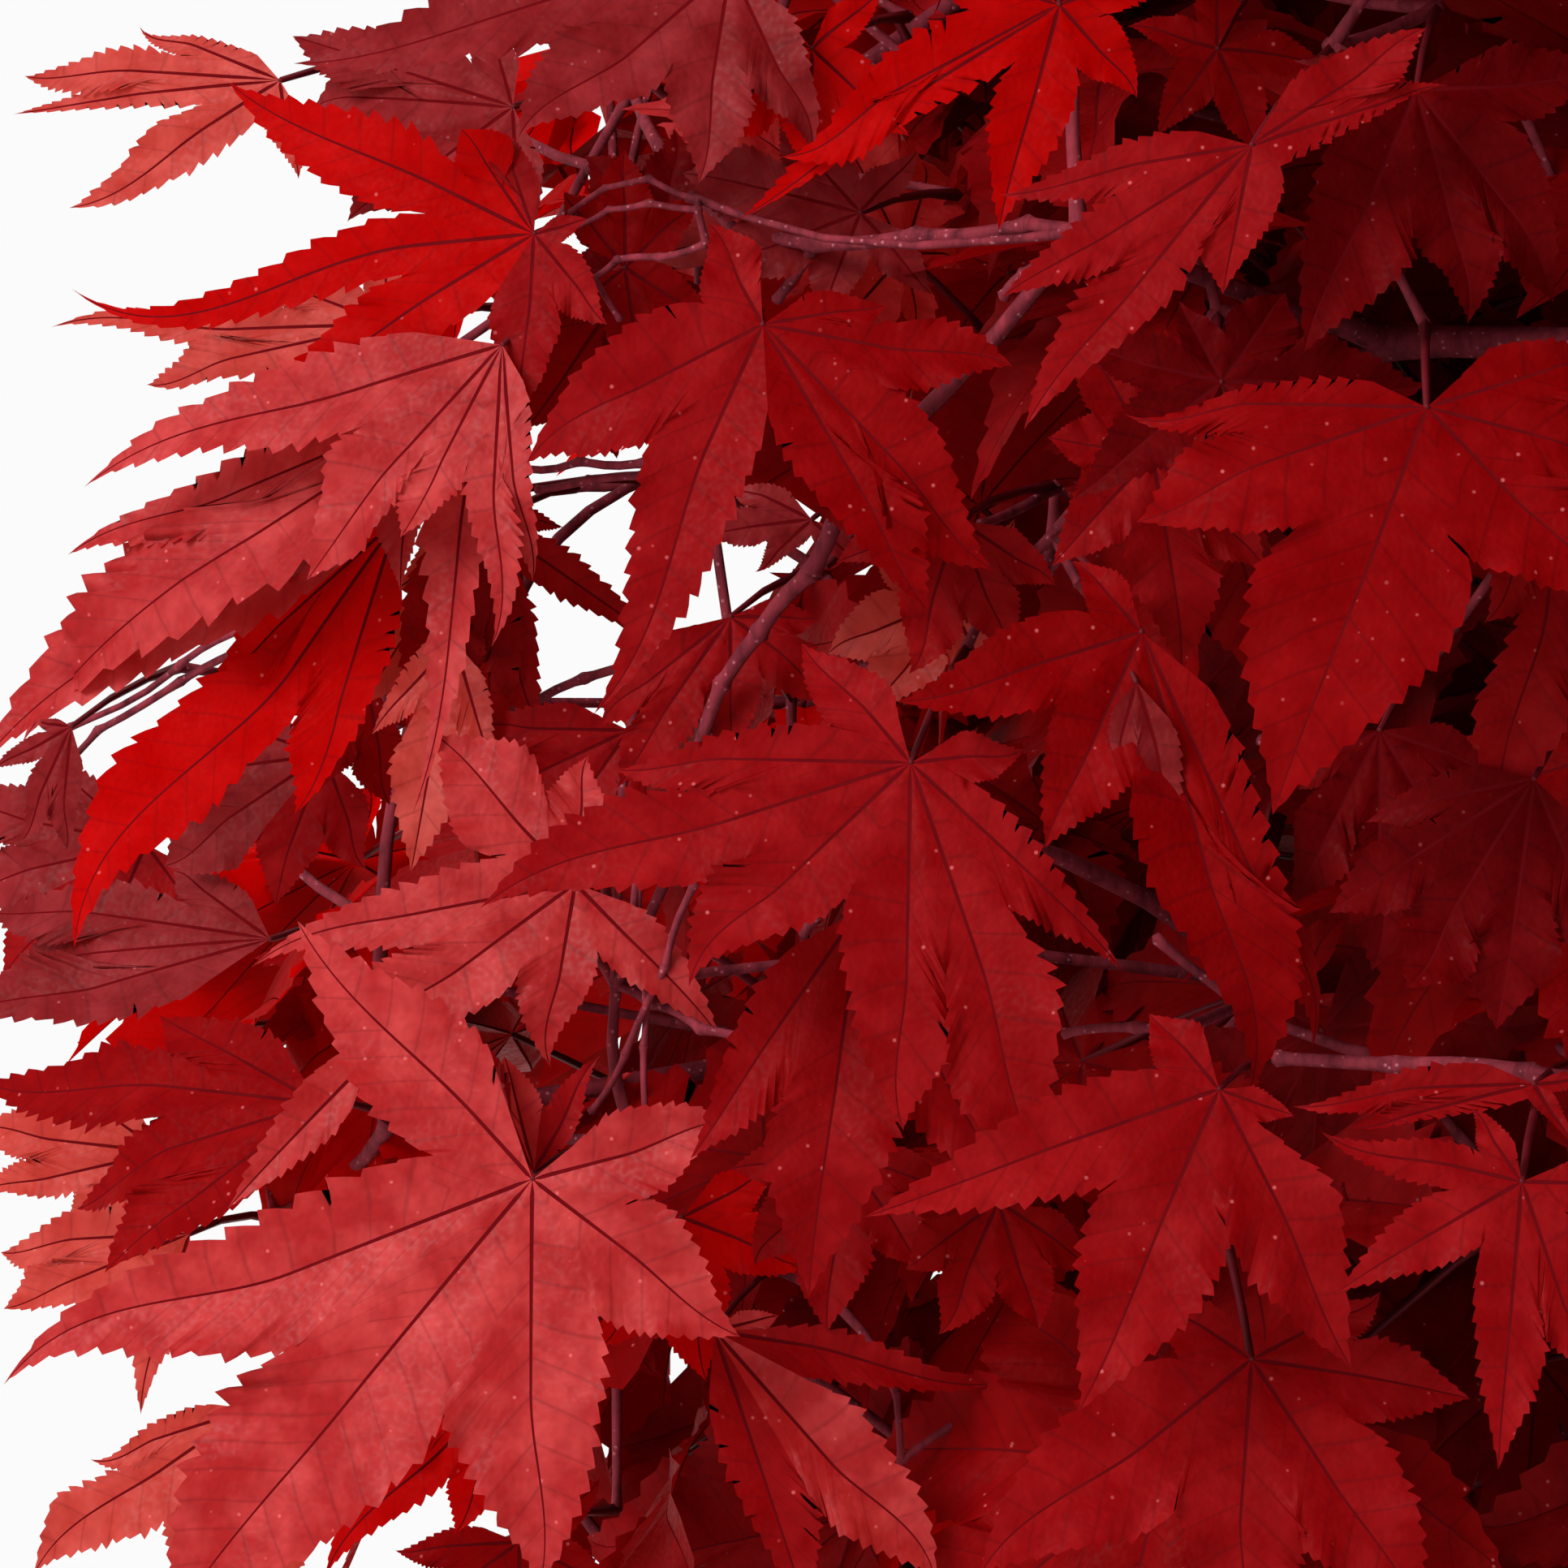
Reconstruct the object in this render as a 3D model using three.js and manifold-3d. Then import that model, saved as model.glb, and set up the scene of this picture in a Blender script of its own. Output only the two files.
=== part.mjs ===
// A maple bonsai in red autumn leaf, in a plain oval pot.
// Millimetres, +Z up. The origin is the middle of the pot's flat underside, and the tree's front faces -Y.
import * as THREE from "three";
import { mergeVertices } from "three/addons/utils/BufferGeometryUtils.js";
import Module from "manifold-3d";

const wasm = await Module();
wasm.setup();

// The pot is a turned profile squeezed across its width, so it is an oval in plan.
const POT_LENGTH = 364;
const POT_WIDTH = 276;
const POT_HEIGHT = 80;
const POT_WALL = 9;
const POT_LIP = 5;
const LIP_DEPTH = 8;
const WALL_LEAN = 14;
const FOOT_HEIGHT = 9;
const FOOT_INSET = 12;
const FLOOR_THICKNESS = 7;
const POT_SIDES = 40;
const DRAIN_WIDTH = 74;
const DRAIN_HEIGHT = 6;
const DRAIN_REACH = 34;

// The soil fills the pot and rises to a flat crest that the trunk stands on.
const SOIL_CLEARANCE = 0.5;
const SOIL_BELOW_LIP = 7;
const GROUND_Z = 88;
const CREST_RADIUS = 96;

// The trunk is a tapering stem with horizontal sections and a flare of surface roots.
const TRUNK_TOP_Z = 452;
const TRUNK_SIDES = 16;
const TRUNK_STEPS = 15;
const TRUNK_RADIUS = 25;
const TRUNK_TIP_RADIUS = 4.6;
const TRUNK_TAPER = 0.82;
const FLARE_RADIUS = 13;
const FLARE_HEIGHT = 26;
const ROOT_RIDGE = 15;
const ROOT_HEIGHT = 15;
const TRUNK_BENDS = [
  [5, 0],
  [-17, 4],
  [13, -5],
  [-9, 6],
  [5, -2],
  [-3, 0],
];
const ROOTS = [
  { azimuth: 20, size: 1 },
  { azimuth: 78, size: 0.75 },
  { azimuth: 138, size: 0.9 },
  { azimuth: 196, size: 1.1 },
  { azimuth: 247, size: 0.8 },
  { azimuth: 307, size: 0.95 },
];
const ROOT_SPREAD = 0.36;

// The crown is a dome: half an ellipsoid above its widest level and a shallower half below it.
const CROWN_LEVEL = 330;
const CROWN_HALF_LENGTH = 262;
const CROWN_HALF_WIDTH = 234;
const CROWN_RISE = 232;
const CROWN_DROP = 160;

// Each tier of boughs: how many, where they leave the trunk, and where their masses of leaves are centred.
const TIERS = [
  { name: "low", count: 4, first: 200, centreZ: 258, reach: 0.58, leaveZ: 150, stepZ: 17, tipZ: 222, foot: 9.8, tip: 4.6 },
  { name: "mid", count: 4, first: 245, centreZ: 362, reach: 0.6, leaveZ: 238, stepZ: 18, tipZ: 326, foot: 8, tip: 4 },
  { name: "high", count: 3, first: 190, centreZ: 450, reach: 0.46, leaveZ: 326, stepZ: 17, tipZ: 416, foot: 5.8, tip: 3.4 },
];
const TOP_CENTRE_Z = 512;
const BOUGH_TIP_SHARE = 0.56;
const BOUGH_SIDES = 6;
const BOUGH_STEPS = 6;
const BOUGH_TAPER = 0.7;
const BOUGH_JOG = 9;
const BOUGH_ARCH = 8;
const CLEARANCE = 0.3;

// Twigs branch from one stem in each mass to seeded sites, where the leaves are borne in opposite pairs.
const SITES_PER_MASS = 10;
const SITE_CANDIDATES = 8;
const SITE_TRIES = 60;
const SITE_SPREAD = 150;
const SITE_INNER = 0.4;
const SITE_OUTER = 0.74;
const SITE_MARGIN = 20;
const PATH_COST = 0.35;
const STEM_SHARE = 0.42;
const STEM_INSET = 0.5;
const TWIG_RADIUS = 1.15;
const TWIG_SIDES = 3;
const TWIG_SWELL = 1.3;
const KNUCKLE_SHARE = 2.1;

// A palmate leaf of five lobes on its stalk, larger than life because each stands for about twelve.
const LEAF_LENGTH = 76;
const LEAF_THICKNESS = 1.3;
const LEAF_DROOP = 0.22;
const LEAF_LOBES = [
  { angle: 100, length: 0.62 },
  { angle: 74, length: 0.33 },
  { angle: 48, length: 0.9 },
  { angle: 24, length: 0.4 },
  { angle: 0, length: 1 },
];
const STALK_LENGTH = 27;
const STALK_RADIUS = 1;
const LEAF_TRIES = 2400;
const LEAVES_PER_MASS = 16;
const LEAVES_PER_SITE = 4;
const LEAF_SHRINK = 0.45;
const SPACE_MARGIN = 0.6;
const LIMB_MARGIN = 1;
const ROOT_OFFSET = 0.7;
const ROOT_SHARED = 2.6;
const LEAF_FACES = 66;
const GRID = 1e-3;
const FINEST = 0.02;

const UP = new THREE.Vector3(0, 0, 1);

const MATERIALS = {
  glaze: new THREE.MeshStandardMaterial({ color: 0x4b5a66, roughness: 0.35, metalness: 0 }),
  soil: new THREE.MeshStandardMaterial({ color: 0x6b4a32, roughness: 0.95, metalness: 0 }),
  bark: new THREE.MeshStandardMaterial({ color: 0x8a7a6c, roughness: 0.9, metalness: 0 }),
  leaf: new THREE.MeshStandardMaterial({ color: 0xb3141c, roughness: 0.6, metalness: 0 }),
};

/** The same row of numbers from 0 to 1 for the same seed. */
function seeded(seed) {
  let state = seed >>> 0;
  return () => {
    state = (state + 0x6d2b79f5) >>> 0;
    let mixed = Math.imul(state ^ (state >>> 15), state | 1);
    mixed ^= mixed + Math.imul(mixed ^ (mixed >>> 7), mixed | 61);
    return ((mixed ^ (mixed >>> 14)) >>> 0) / 4294967296;
  };
}

/** A closed geometry as a solid, with corners nearer than weld made one. Faces that point inwards are turned round. */
function solidOf(geometry, weld = 1e-4) {
  const bare = geometry.clone();
  bare.deleteAttribute("normal");
  bare.deleteAttribute("uv");
  const merged = mergeVertices(bare, weld);
  const triVerts = new Uint32Array(merged.index.array);
  const vertProperties = new Float32Array(merged.attributes.position.array);
  const solid = new wasm.Manifold(new wasm.Mesh({ numProp: 3, vertProperties, triVerts }));
  if (solid.volume() >= 0) {
    return solid;
  }
  for (let i = 0; i < triVerts.length; i += 3) {
    [triVerts[i + 1], triVerts[i + 2]] = [triVerts[i + 2], triVerts[i + 1]];
  }
  return new wasm.Manifold(new wasm.Mesh({ numProp: 3, vertProperties, triVerts }));
}

/** A solid's faces as a geometry. */
function geometryOf(solid) {
  const made = solid.getMesh();
  const geometry = new THREE.BufferGeometry();
  geometry.setAttribute("position", new THREE.BufferAttribute(new Float32Array(made.vertProperties), 3));
  geometry.setIndex(new THREE.BufferAttribute(new Uint32Array(made.triVerts), 1));
  geometry.computeVertexNormals();
  return geometry;
}

/** The largest of a solid's separate pieces. It leaves out loose scraps, and fills hollows that fusing has sealed. */
function largestPiece(solid) {
  return solid.decompose().reduce((most, piece) => (piece.volume() > most.volume() ? piece : most));
}

/** A solid's corners moved to a fine grid, with the faces that this closes up left out. */
function gridded(solid) {
  const made = solid.getMesh();
  const places = [];
  const numbers = new Map();
  const number = [];
  for (let i = 0; i < made.vertProperties.length; i += made.numProp) {
    const place = [0, 1, 2].map((k) => Math.round(made.vertProperties[i + k] / GRID));
    const key = place.join();
    if (!numbers.has(key)) {
      numbers.set(key, numbers.size);
      places.push(...place.map((value) => value * GRID));
    }
    number.push(numbers.get(key));
  }
  const faces = [];
  for (let i = 0; i < made.triVerts.length; i += 3) {
    const [a, b, c] = [0, 1, 2].map((k) => number[made.triVerts[i + k]]);
    if (a !== b && b !== c && c !== a) {
      faces.push(a, b, c);
    }
  }
  return { vertProperties: new Float32Array(places), triVerts: new Uint32Array(faces) };
}

/** Whether each edge of a set of triangles has just two of them. */
function isSimple(triVerts) {
  const uses = new Map();
  for (let i = 0; i < triVerts.length; i += 3) {
    for (let k = 0; k < 3; k++) {
      const ends = [triVerts[i + k], triVerts[i + ((k + 1) % 3)]];
      const key = `${Math.min(...ends)},${Math.max(...ends)}`;
      uses.set(key, (uses.get(key) ?? 0) + 1);
    }
  }
  return [...uses.values()].every((count) => count === 2);
}

/** A fused solid on the fine grid, without the scraps and hollows that fusing leaves. It is null if faces then touch. */
function settled(solid) {
  let kept = solid;
  for (let pieces = 2; pieces > 1; ) {
    const mesh = gridded(kept);
    if (!isSimple(mesh.triVerts)) {
      return null;
    }
    const welded = new wasm.Manifold(new wasm.Mesh({ numProp: 3, ...mesh }));
    pieces = welded.decompose().length;
    kept = largestPiece(welded);
  }
  return kept;
}

/** A named mesh of a solid, in place. */
function meshOf(name, solid, material) {
  const geometry = geometryOf(solid);
  const mesh = new THREE.Mesh(geometry, material);
  mesh.name = name;
  return mesh;
}

/** A profile of [radius, height] points turned round Z and squeezed across to the pot's oval. */
function ovalTurned(profile) {
  const points = profile.map(([radius, height]) => new THREE.Vector2(radius, height));
  const geometry = new THREE.LatheGeometry(points, POT_SIDES);
  geometry.rotateX(Math.PI / 2);
  geometry.scale(1, POT_WIDTH / POT_LENGTH, 1);
  return solidOf(geometry);
}

/** The pot: a leaning wall with a lip, on an inset foot that is notched on its four sides. */
function potSolid() {
  const lipRadius = POT_LENGTH / 2;
  const wallTop = lipRadius - POT_LIP;
  const wallFoot = wallTop - WALL_LEAN;
  const floorZ = FOOT_HEIGHT + FLOOR_THICKNESS;
  const lipZ = POT_HEIGHT - LIP_DEPTH;
  let pot = ovalTurned([
    [0, 0],
    [wallFoot - FOOT_INSET, 0],
    [wallFoot - FOOT_INSET, FOOT_HEIGHT],
    [wallFoot, FOOT_HEIGHT],
    [wallTop, lipZ],
    [lipRadius, lipZ],
    [lipRadius, POT_HEIGHT],
    [wallTop - POT_WALL, POT_HEIGHT],
    [wallFoot - POT_WALL, floorZ],
    [0, floorZ],
  ]);
  const reachX = wallFoot - FOOT_INSET;
  const reachY = (reachX * POT_WIDTH) / POT_LENGTH;
  for (const side of [-1, 1]) {
    const endNotch = new THREE.BoxGeometry(2 * DRAIN_REACH, DRAIN_WIDTH, 2 * DRAIN_HEIGHT);
    endNotch.translate(side * reachX, 0, 0);
    const longNotch = new THREE.BoxGeometry(2 * DRAIN_WIDTH, 2 * DRAIN_REACH, 2 * DRAIN_HEIGHT);
    longNotch.translate(0, side * reachY, 0);
    pot = pot.subtract(solidOf(endNotch)).subtract(solidOf(longNotch));
  }
  return pot;
}

/** The soil: it fills the pot to below the lip and swells to its flat crest. */
function soilSolid() {
  const wallFoot = POT_LENGTH / 2 - POT_LIP - WALL_LEAN - POT_WALL - SOIL_CLEARANCE;
  const floorZ = FOOT_HEIGHT + FLOOR_THICKNESS + SOIL_CLEARANCE;
  const edgeZ = POT_HEIGHT - SOIL_BELOW_LIP;
  const edgeRadius = wallFoot + (WALL_LEAN * (edgeZ - floorZ)) / (POT_HEIGHT - floorZ);
  const shoulder = (CREST_RADIUS + edgeRadius) / 2;
  return ovalTurned([
    [0, floorZ],
    [wallFoot, floorZ],
    [edgeRadius, edgeZ],
    [shoulder, (edgeZ + GROUND_Z) / 2 + 3],
    [CREST_RADIUS, GROUND_Z],
    [0, GROUND_Z],
  ]);
}

const trunkLine = new THREE.CatmullRomCurve3(
  TRUNK_BENDS.map(([x, y], i) => {
    const share = i / (TRUNK_BENDS.length - 1);
    return new THREE.Vector3(x, y, GROUND_Z + share * (TRUNK_TOP_Z - GROUND_Z));
  }),
);

/** The middle of the trunk at a height. */
function trunkAt(z) {
  return trunkLine.getPoint((z - GROUND_Z) / (TRUNK_TOP_Z - GROUND_Z));
}

/** The trunk's radius at a height and azimuth in radians, with the flare and ridges of its surface roots. */
function trunkRadius(z, azimuth) {
  const above = z - GROUND_Z;
  const share = above / (TRUNK_TOP_Z - GROUND_Z);
  const stem = TRUNK_TIP_RADIUS + (TRUNK_RADIUS - TRUNK_TIP_RADIUS) * (1 - share) ** TRUNK_TAPER;
  let ridge = 0;
  for (const root of ROOTS) {
    const apart = Math.atan2(
      Math.sin(azimuth - THREE.MathUtils.degToRad(root.azimuth)),
      Math.cos(azimuth - THREE.MathUtils.degToRad(root.azimuth)),
    );
    ridge += root.size * Math.exp(-((apart / ROOT_SPREAD) ** 2));
  }
  return stem + FLARE_RADIUS * Math.exp(-above / FLARE_HEIGHT) + ROOT_RIDGE * ridge * Math.exp(-above / ROOT_HEIGHT);
}

/** The trunk grown by a clearance, from its flat cut at ground level to its tip. Its steps are closer near the roots. */
function trunkSolid(grown) {
  const geometry = new THREE.CylinderGeometry(1, 1, 1, TRUNK_SIDES, TRUNK_STEPS);
  const position = geometry.attributes.position;
  for (let i = 0; i < position.count; i++) {
    const share = (position.getY(i) + 0.5) ** 1.5;
    const z = GROUND_Z + share * (TRUNK_TOP_Z - GROUND_Z);
    const azimuth = Math.atan2(position.getZ(i), position.getX(i));
    const rim = Math.hypot(position.getX(i), position.getZ(i));
    const radius = rim * (trunkRadius(z, azimuth) + grown);
    const middle = trunkAt(z);
    position.setXYZ(i, middle.x + radius * Math.cos(azimuth), middle.y + radius * Math.sin(azimuth), z);
  }
  return solidOf(geometry);
}

/** A bough grown by a clearance: a tapering cylinder whose rings are carried along its line. */
function boughSolid(mass, curve, grown) {
  const geometry = new THREE.CylinderGeometry(1, 1, 1, BOUGH_SIDES, BOUGH_STEPS);
  const frames = curve.computeFrenetFrames(BOUGH_STEPS, false);
  const position = geometry.attributes.position;
  for (let i = 0; i < position.count; i++) {
    const step = Math.round((position.getY(i) + 0.5) * BOUGH_STEPS);
    const share = step / BOUGH_STEPS;
    const radius = THREE.MathUtils.lerp(mass.bough.footRadius, mass.bough.tipRadius, share ** BOUGH_TAPER) + grown;
    const at = curve.getPointAt(share);
    at.addScaledVector(frames.normals[step], radius * position.getX(i));
    at.addScaledVector(frames.binormals[step], radius * position.getZ(i));
    position.setXYZ(i, at.x, at.y, at.z);
  }
  return solidOf(geometry);
}

/** A point's share of the way from the crown's centre to its outline. */
function crownShare(point) {
  const rise = point.z - CROWN_LEVEL;
  return Math.hypot(
    point.x / CROWN_HALF_LENGTH,
    point.y / CROWN_HALF_WIDTH,
    rise / (rise > 0 ? CROWN_RISE : CROWN_DROP),
  );
}

/** The way out of the crown at a point. */
function outwards(point) {
  const rise = point.z - CROWN_LEVEL;
  return new THREE.Vector3(
    point.x / CROWN_HALF_LENGTH ** 2,
    point.y / CROWN_HALF_WIDTH ** 2,
    rise / (rise > 0 ? CROWN_RISE : CROWN_DROP) ** 2,
  ).normalize();
}

/** Each mass of leaves: its name, centre and seed, and the bough that carries it, if it isn't the trunk. */
function plannedMasses() {
  const masses = [];
  for (const tier of TIERS) {
    for (let i = 0; i < tier.count; i++) {
      const azimuth = THREE.MathUtils.degToRad(tier.first + (i * 360) / tier.count);
      const out = new THREE.Vector3(Math.cos(azimuth), Math.sin(azimuth), 0);
      const reachX = tier.reach * CROWN_HALF_LENGTH * out.x;
      const reachY = tier.reach * CROWN_HALF_WIDTH * out.y;
      const name = `${tier.name}_${i + 1}`;
      masses.push({
        name,
        seed: 101 + 17 * masses.length,
        centre: new THREE.Vector3(reachX, reachY, tier.centreZ),
        bough: {
          foot: trunkAt(tier.leaveZ + i * tier.stepZ),
          tip: new THREE.Vector3(BOUGH_TIP_SHARE * reachX, BOUGH_TIP_SHARE * reachY, tier.tipZ),
          footRadius: tier.foot,
          tipRadius: tier.tip,
        },
      });
    }
  }
  masses.push({ name: "top", seed: 101 + 17 * masses.length, centre: new THREE.Vector3(0, 0, TOP_CENTRE_Z) });
  return masses;
}

const masses = plannedMasses();

/** How far a point lies inside a mass's own space, which ends halfway to each neighbour's centre. */
function depthInSpace(point, mass) {
  let depth = Infinity;
  for (const other of masses) {
    if (other === mass) {
      continue;
    }
    const apart = other.centre.distanceTo(mass.centre);
    const nearer = other.centre.distanceToSquared(point) - mass.centre.distanceToSquared(point);
    depth = Math.min(depth, nearer / (2 * apart));
  }
  return depth;
}

/** The line of a bough: out of the trunk, over a low arch with a jog to one side, and up into its mass. */
function boughLine(mass) {
  const { foot, tip } = mass.bough;
  const run = tip.clone().sub(foot);
  const side = new THREE.Vector3(-run.y, run.x, 0).normalize();
  const draw = seeded(mass.seed + 7);
  const points = [foot];
  for (const share of [0.3, 0.55, 0.8]) {
    const jog = (draw() - 0.5) * 2 * BOUGH_JOG;
    const arch = BOUGH_ARCH * Math.sin(Math.PI * share);
    points.push(foot.clone().addScaledVector(run, share).addScaledVector(side, jog).addScaledVector(UP, arch));
  }
  points.push(tip);
  return new THREE.CatmullRomCurve3(points);
}

/** Seeded sites for the twigs of a mass, each as far as can be from those before it. */
function twigSites(mass, count) {
  const draw = seeded(mass.seed);
  const sites = [];
  for (let i = 0; i < count; i++) {
    let best = null;
    let bestGap = -1;
    for (let k = 0, tries = 0; k < SITE_CANDIDATES && tries < SITE_TRIES * SITE_CANDIDATES; tries++) {
      const x = mass.centre.x + (draw() - 0.5) * 2 * SITE_SPREAD;
      const y = mass.centre.y + (draw() - 0.5) * 2 * SITE_SPREAD;
      const z = mass.centre.z + (draw() - 0.5) * 2 * SITE_SPREAD;
      const point = new THREE.Vector3(x, y, z);
      const share = crownShare(point);
      if (share < SITE_INNER || share > SITE_OUTER || depthInSpace(point, mass) < SITE_MARGIN) {
        continue;
      }
      k++;
      const gap = sites.reduce((least, site) => Math.min(least, site.distanceTo(point)), 1e9);
      if (gap > bestGap) {
        best = point;
        bestGap = gap;
      }
    }
    if (best) {
      sites.push(best);
    }
  }
  return sites;
}

/** Joins the sites to the stem: each to the twig that costs least, counted in new twig and in the way back to the stem. */
function grownTwigs(mass, sites) {
  const stemEnd = mass.tip.clone().lerp(mass.centre, STEM_SHARE);
  const nodes = [
    { at: mass.tip, parent: null, path: 0 },
    { at: stemEnd, parent: 0, path: mass.tip.distanceTo(stemEnd) },
  ];
  const order = sites.slice().sort((a, b) => a.distanceTo(stemEnd) - b.distanceTo(stemEnd));
  for (const site of order) {
    let parent = 1;
    let least = Infinity;
    for (let i = 1; i < nodes.length; i++) {
      const cost = site.distanceTo(nodes[i].at) + PATH_COST * nodes[i].path;
      if (cost < least) {
        least = cost;
        parent = i;
      }
    }
    nodes.push({ at: site, parent, path: nodes[parent].path + site.distanceTo(nodes[parent].at) });
  }
  for (let i = nodes.length - 1; i > 0; i--) {
    nodes[i].area = Math.max(nodes[i].area ?? 0, TWIG_RADIUS ** 2);
    nodes[nodes[i].parent].area = (nodes[nodes[i].parent].area ?? 0) + nodes[i].area;
  }
  return nodes;
}

/** The swelling where twigs and leaf stalks meet. It is turned by the draw, so that no two of its faces line up. */
function knuckleSolid(at, radius, draw) {
  const geometry = new THREE.OctahedronGeometry(KNUCKLE_SHARE * radius);
  geometry.rotateX(draw() * Math.PI);
  geometry.rotateZ(draw() * Math.PI);
  geometry.translate(at.x, at.y, at.z);
  return solidOf(geometry);
}

/** A straight three-sided twig between two points. */
function twigSolid(from, to, fromRadius, toRadius) {
  const run = to.clone().sub(from);
  const length = run.length();
  const geometry = new THREE.CylinderGeometry(toRadius, fromRadius, length, TWIG_SIDES, 1);
  geometry.translate(0, length / 2, 0);
  geometry.applyQuaternion(new THREE.Quaternion().setFromUnitVectors(new THREE.Vector3(0, 1, 0), run.normalize()));
  geometry.translate(from.x, from.y, from.z);
  return solidOf(geometry);
}

/** The stem of a mass, cut square to the end of its limb and a clearance short of it. */
function stemSolid(mass, end, endRadius) {
  const { tip, heading } = mass;
  const within = tip.clone().addScaledVector(heading, -mass.stemRadius);
  const stem = twigSolid(within, end, mass.stemRadius, endRadius);
  return stem.trimByPlane(heading.toArray(), tip.dot(heading) + CLEARANCE);
}

/** The outline of a leaf as [along, across] points, from one side of its stalk round to the other. */
function leafOutline(reach) {
  const half = LEAF_LOBES.map(({ angle, length }) => {
    const turn = THREE.MathUtils.degToRad(angle);
    return [reach * length * Math.cos(turn), reach * length * Math.sin(turn)];
  });
  const other = half
    .slice(0, -1)
    .reverse()
    .map(([along, across]) => [along, -across]);
  return [[-3 * STALK_RADIUS, 1.5 * STALK_RADIUS], ...half, ...other, [-3 * STALK_RADIUS, -1.5 * STALK_RADIUS]];
}

/** One leaf and its stalk as a thin closed solid: two fans over its outline, joined by a three-sided stalk to the twig. */
function leafSolid(leaf, size) {
  const reach = size * LEAF_LENGTH;
  const across = new THREE.Vector3().crossVectors(leaf.face, leaf.along);
  const place = (u, v, w) =>
    leaf.heart.clone().addScaledVector(leaf.along, u).addScaledVector(across, v).addScaledVector(leaf.face, w);
  const corners = leafOutline(reach).map(([u, v]) => place(u, v, (-LEAF_DROOP * (u * u + v * v)) / reach));
  const stalk = leaf.root.clone().sub(leaf.heart).normalize();
  const side = across.clone().addScaledVector(stalk, -across.dot(stalk)).normalize();
  const under = new THREE.Vector3().crossVectors(stalk, side);
  const right = leaf.root.clone().addScaledVector(side, STALK_RADIUS).addScaledVector(under, -0.5 * STALK_RADIUS);
  const left = leaf.root.clone().addScaledVector(side, -STALK_RADIUS).addScaledVector(under, -0.5 * STALK_RADIUS);
  const keel = leaf.root.clone().addScaledVector(under, STALK_RADIUS);
  const over = place(0, 0, LEAF_THICKNESS / 2);
  const below = place(0, 0, -LEAF_THICKNESS / 2);
  const points = [...corners, left, right, keel, over, below];
  const last = corners.length - 1;
  const [iLeft, iRight, iKeel, iOver, iBelow] = [1, 2, 3, 4, 5].map((n) => last + n);
  const faces = [];
  for (let i = 0; i < last; i++) {
    faces.push([iOver, i + 1, i], [iBelow, i, i + 1]);
  }
  faces.push([iOver, iLeft, last], [iOver, iRight, iLeft], [iOver, 0, iRight]);
  faces.push([iBelow, last, iLeft], [iBelow, iLeft, iKeel], [iBelow, iKeel, iRight], [iBelow, iRight, 0]);
  faces.push([iLeft, iRight, iKeel]);
  const geometry = new THREE.BufferGeometry().setFromPoints(points);
  geometry.setIndex(faces.flat());
  return { solid: solidOf(geometry), corners };
}

/** A leaf on a site: its stalk leans to one side (+1 or -1) of the way out of the crown, and its blade hangs from that. */
function hangingLeaf(site, side, draw) {
  const out = outwards(site);
  const round = new THREE.Vector3().crossVectors(UP, out).normalize();
  const reach = out
    .clone()
    .multiplyScalar(0.55)
    .addScaledVector(UP, 0.9 * draw() - 0.35)
    .addScaledVector(round, side * (draw() - 0.1))
    .normalize();
  const along = reach
    .clone()
    .multiplyScalar(0.4 + 0.6 * draw())
    .addScaledVector(UP, 0.15 - 0.95 * draw())
    .addScaledVector(round, 0.7 * (draw() - 0.5))
    .normalize();
  const face = out.clone().multiplyScalar(0.7).addScaledVector(UP, 0.7).addScaledVector(round, draw() - 0.5);
  face.addScaledVector(along, -face.dot(along)).normalize();
  const heart = site.clone().addScaledVector(reach, STALK_LENGTH * (0.6 + 0.4 * draw()));
  return { root: site.clone().addScaledVector(reach, ROOT_OFFSET), heart, along, face };
}

/** One mass of leaves as a single solid: its twigs, and leaves fused on at their ends where there is room. */
function massSolid(mass, limbs) {
  const draw = seeded(mass.seed + 3);
  const nodes = grownTwigs(mass, twigSites(mass, SITES_PER_MASS));
  const radiusOf = (node) => Math.min(Math.sqrt(node.area), mass.stemRadius);
  const [start, first] = nodes;
  const stem = stemSolid(mass, first.at, radiusOf(first));
  let fused = settled(stem.add(knuckleSolid(first.at, radiusOf(first), draw)));
  const borne = new Set([start, first]);
  for (const node of nodes.slice(2)) {
    const parent = nodes[node.parent];
    const radius = radiusOf(node);
    const twig = twigSolid(parent.at, node.at, Math.min(radiusOf(parent), TWIG_SWELL * radius), radius);
    const piece = twig.add(knuckleSolid(node.at, radius, draw));
    const joined = settled(fused.add(piece));
    if (borne.has(parent) && joined && piece.intersect(limbs).volume() === 0) {
      fused = joined;
      borne.add(node);
    }
  }
  const sites = nodes.slice(2).filter((node) => borne.has(node));
  const carried = sites.map(() => 0);
  let leaves = 0;
  for (let t = 0; t < LEAF_TRIES && leaves < LEAVES_PER_MASS; t++) {
    const size = 1 - (LEAF_SHRINK * t) / LEAF_TRIES;
    const i = t % sites.length;
    const side = carried[i] % 2 ? -1 : 1;
    const { solid, corners } = leafSolid(hangingLeaf(sites[i].at, side, draw), size);
    const inside = corners.every((corner) => depthInSpace(corner, mass) > SPACE_MARGIN && crownShare(corner) < 1);
    if (!inside || carried[i] === LEAVES_PER_SITE || solid.intersect(limbs).volume() > 0) {
      continue;
    }
    const joined = solid.intersect(fused).volume() < ROOT_SHARED ? settled(fused.add(solid)) : null;
    if (joined && joined.numTri() - fused.numTri() < LEAF_FACES) {
      fused = joined;
      carried[i]++;
      leaves++;
    }
  }
  return settled(fused.simplify(FINEST)) ?? fused;
}

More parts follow.
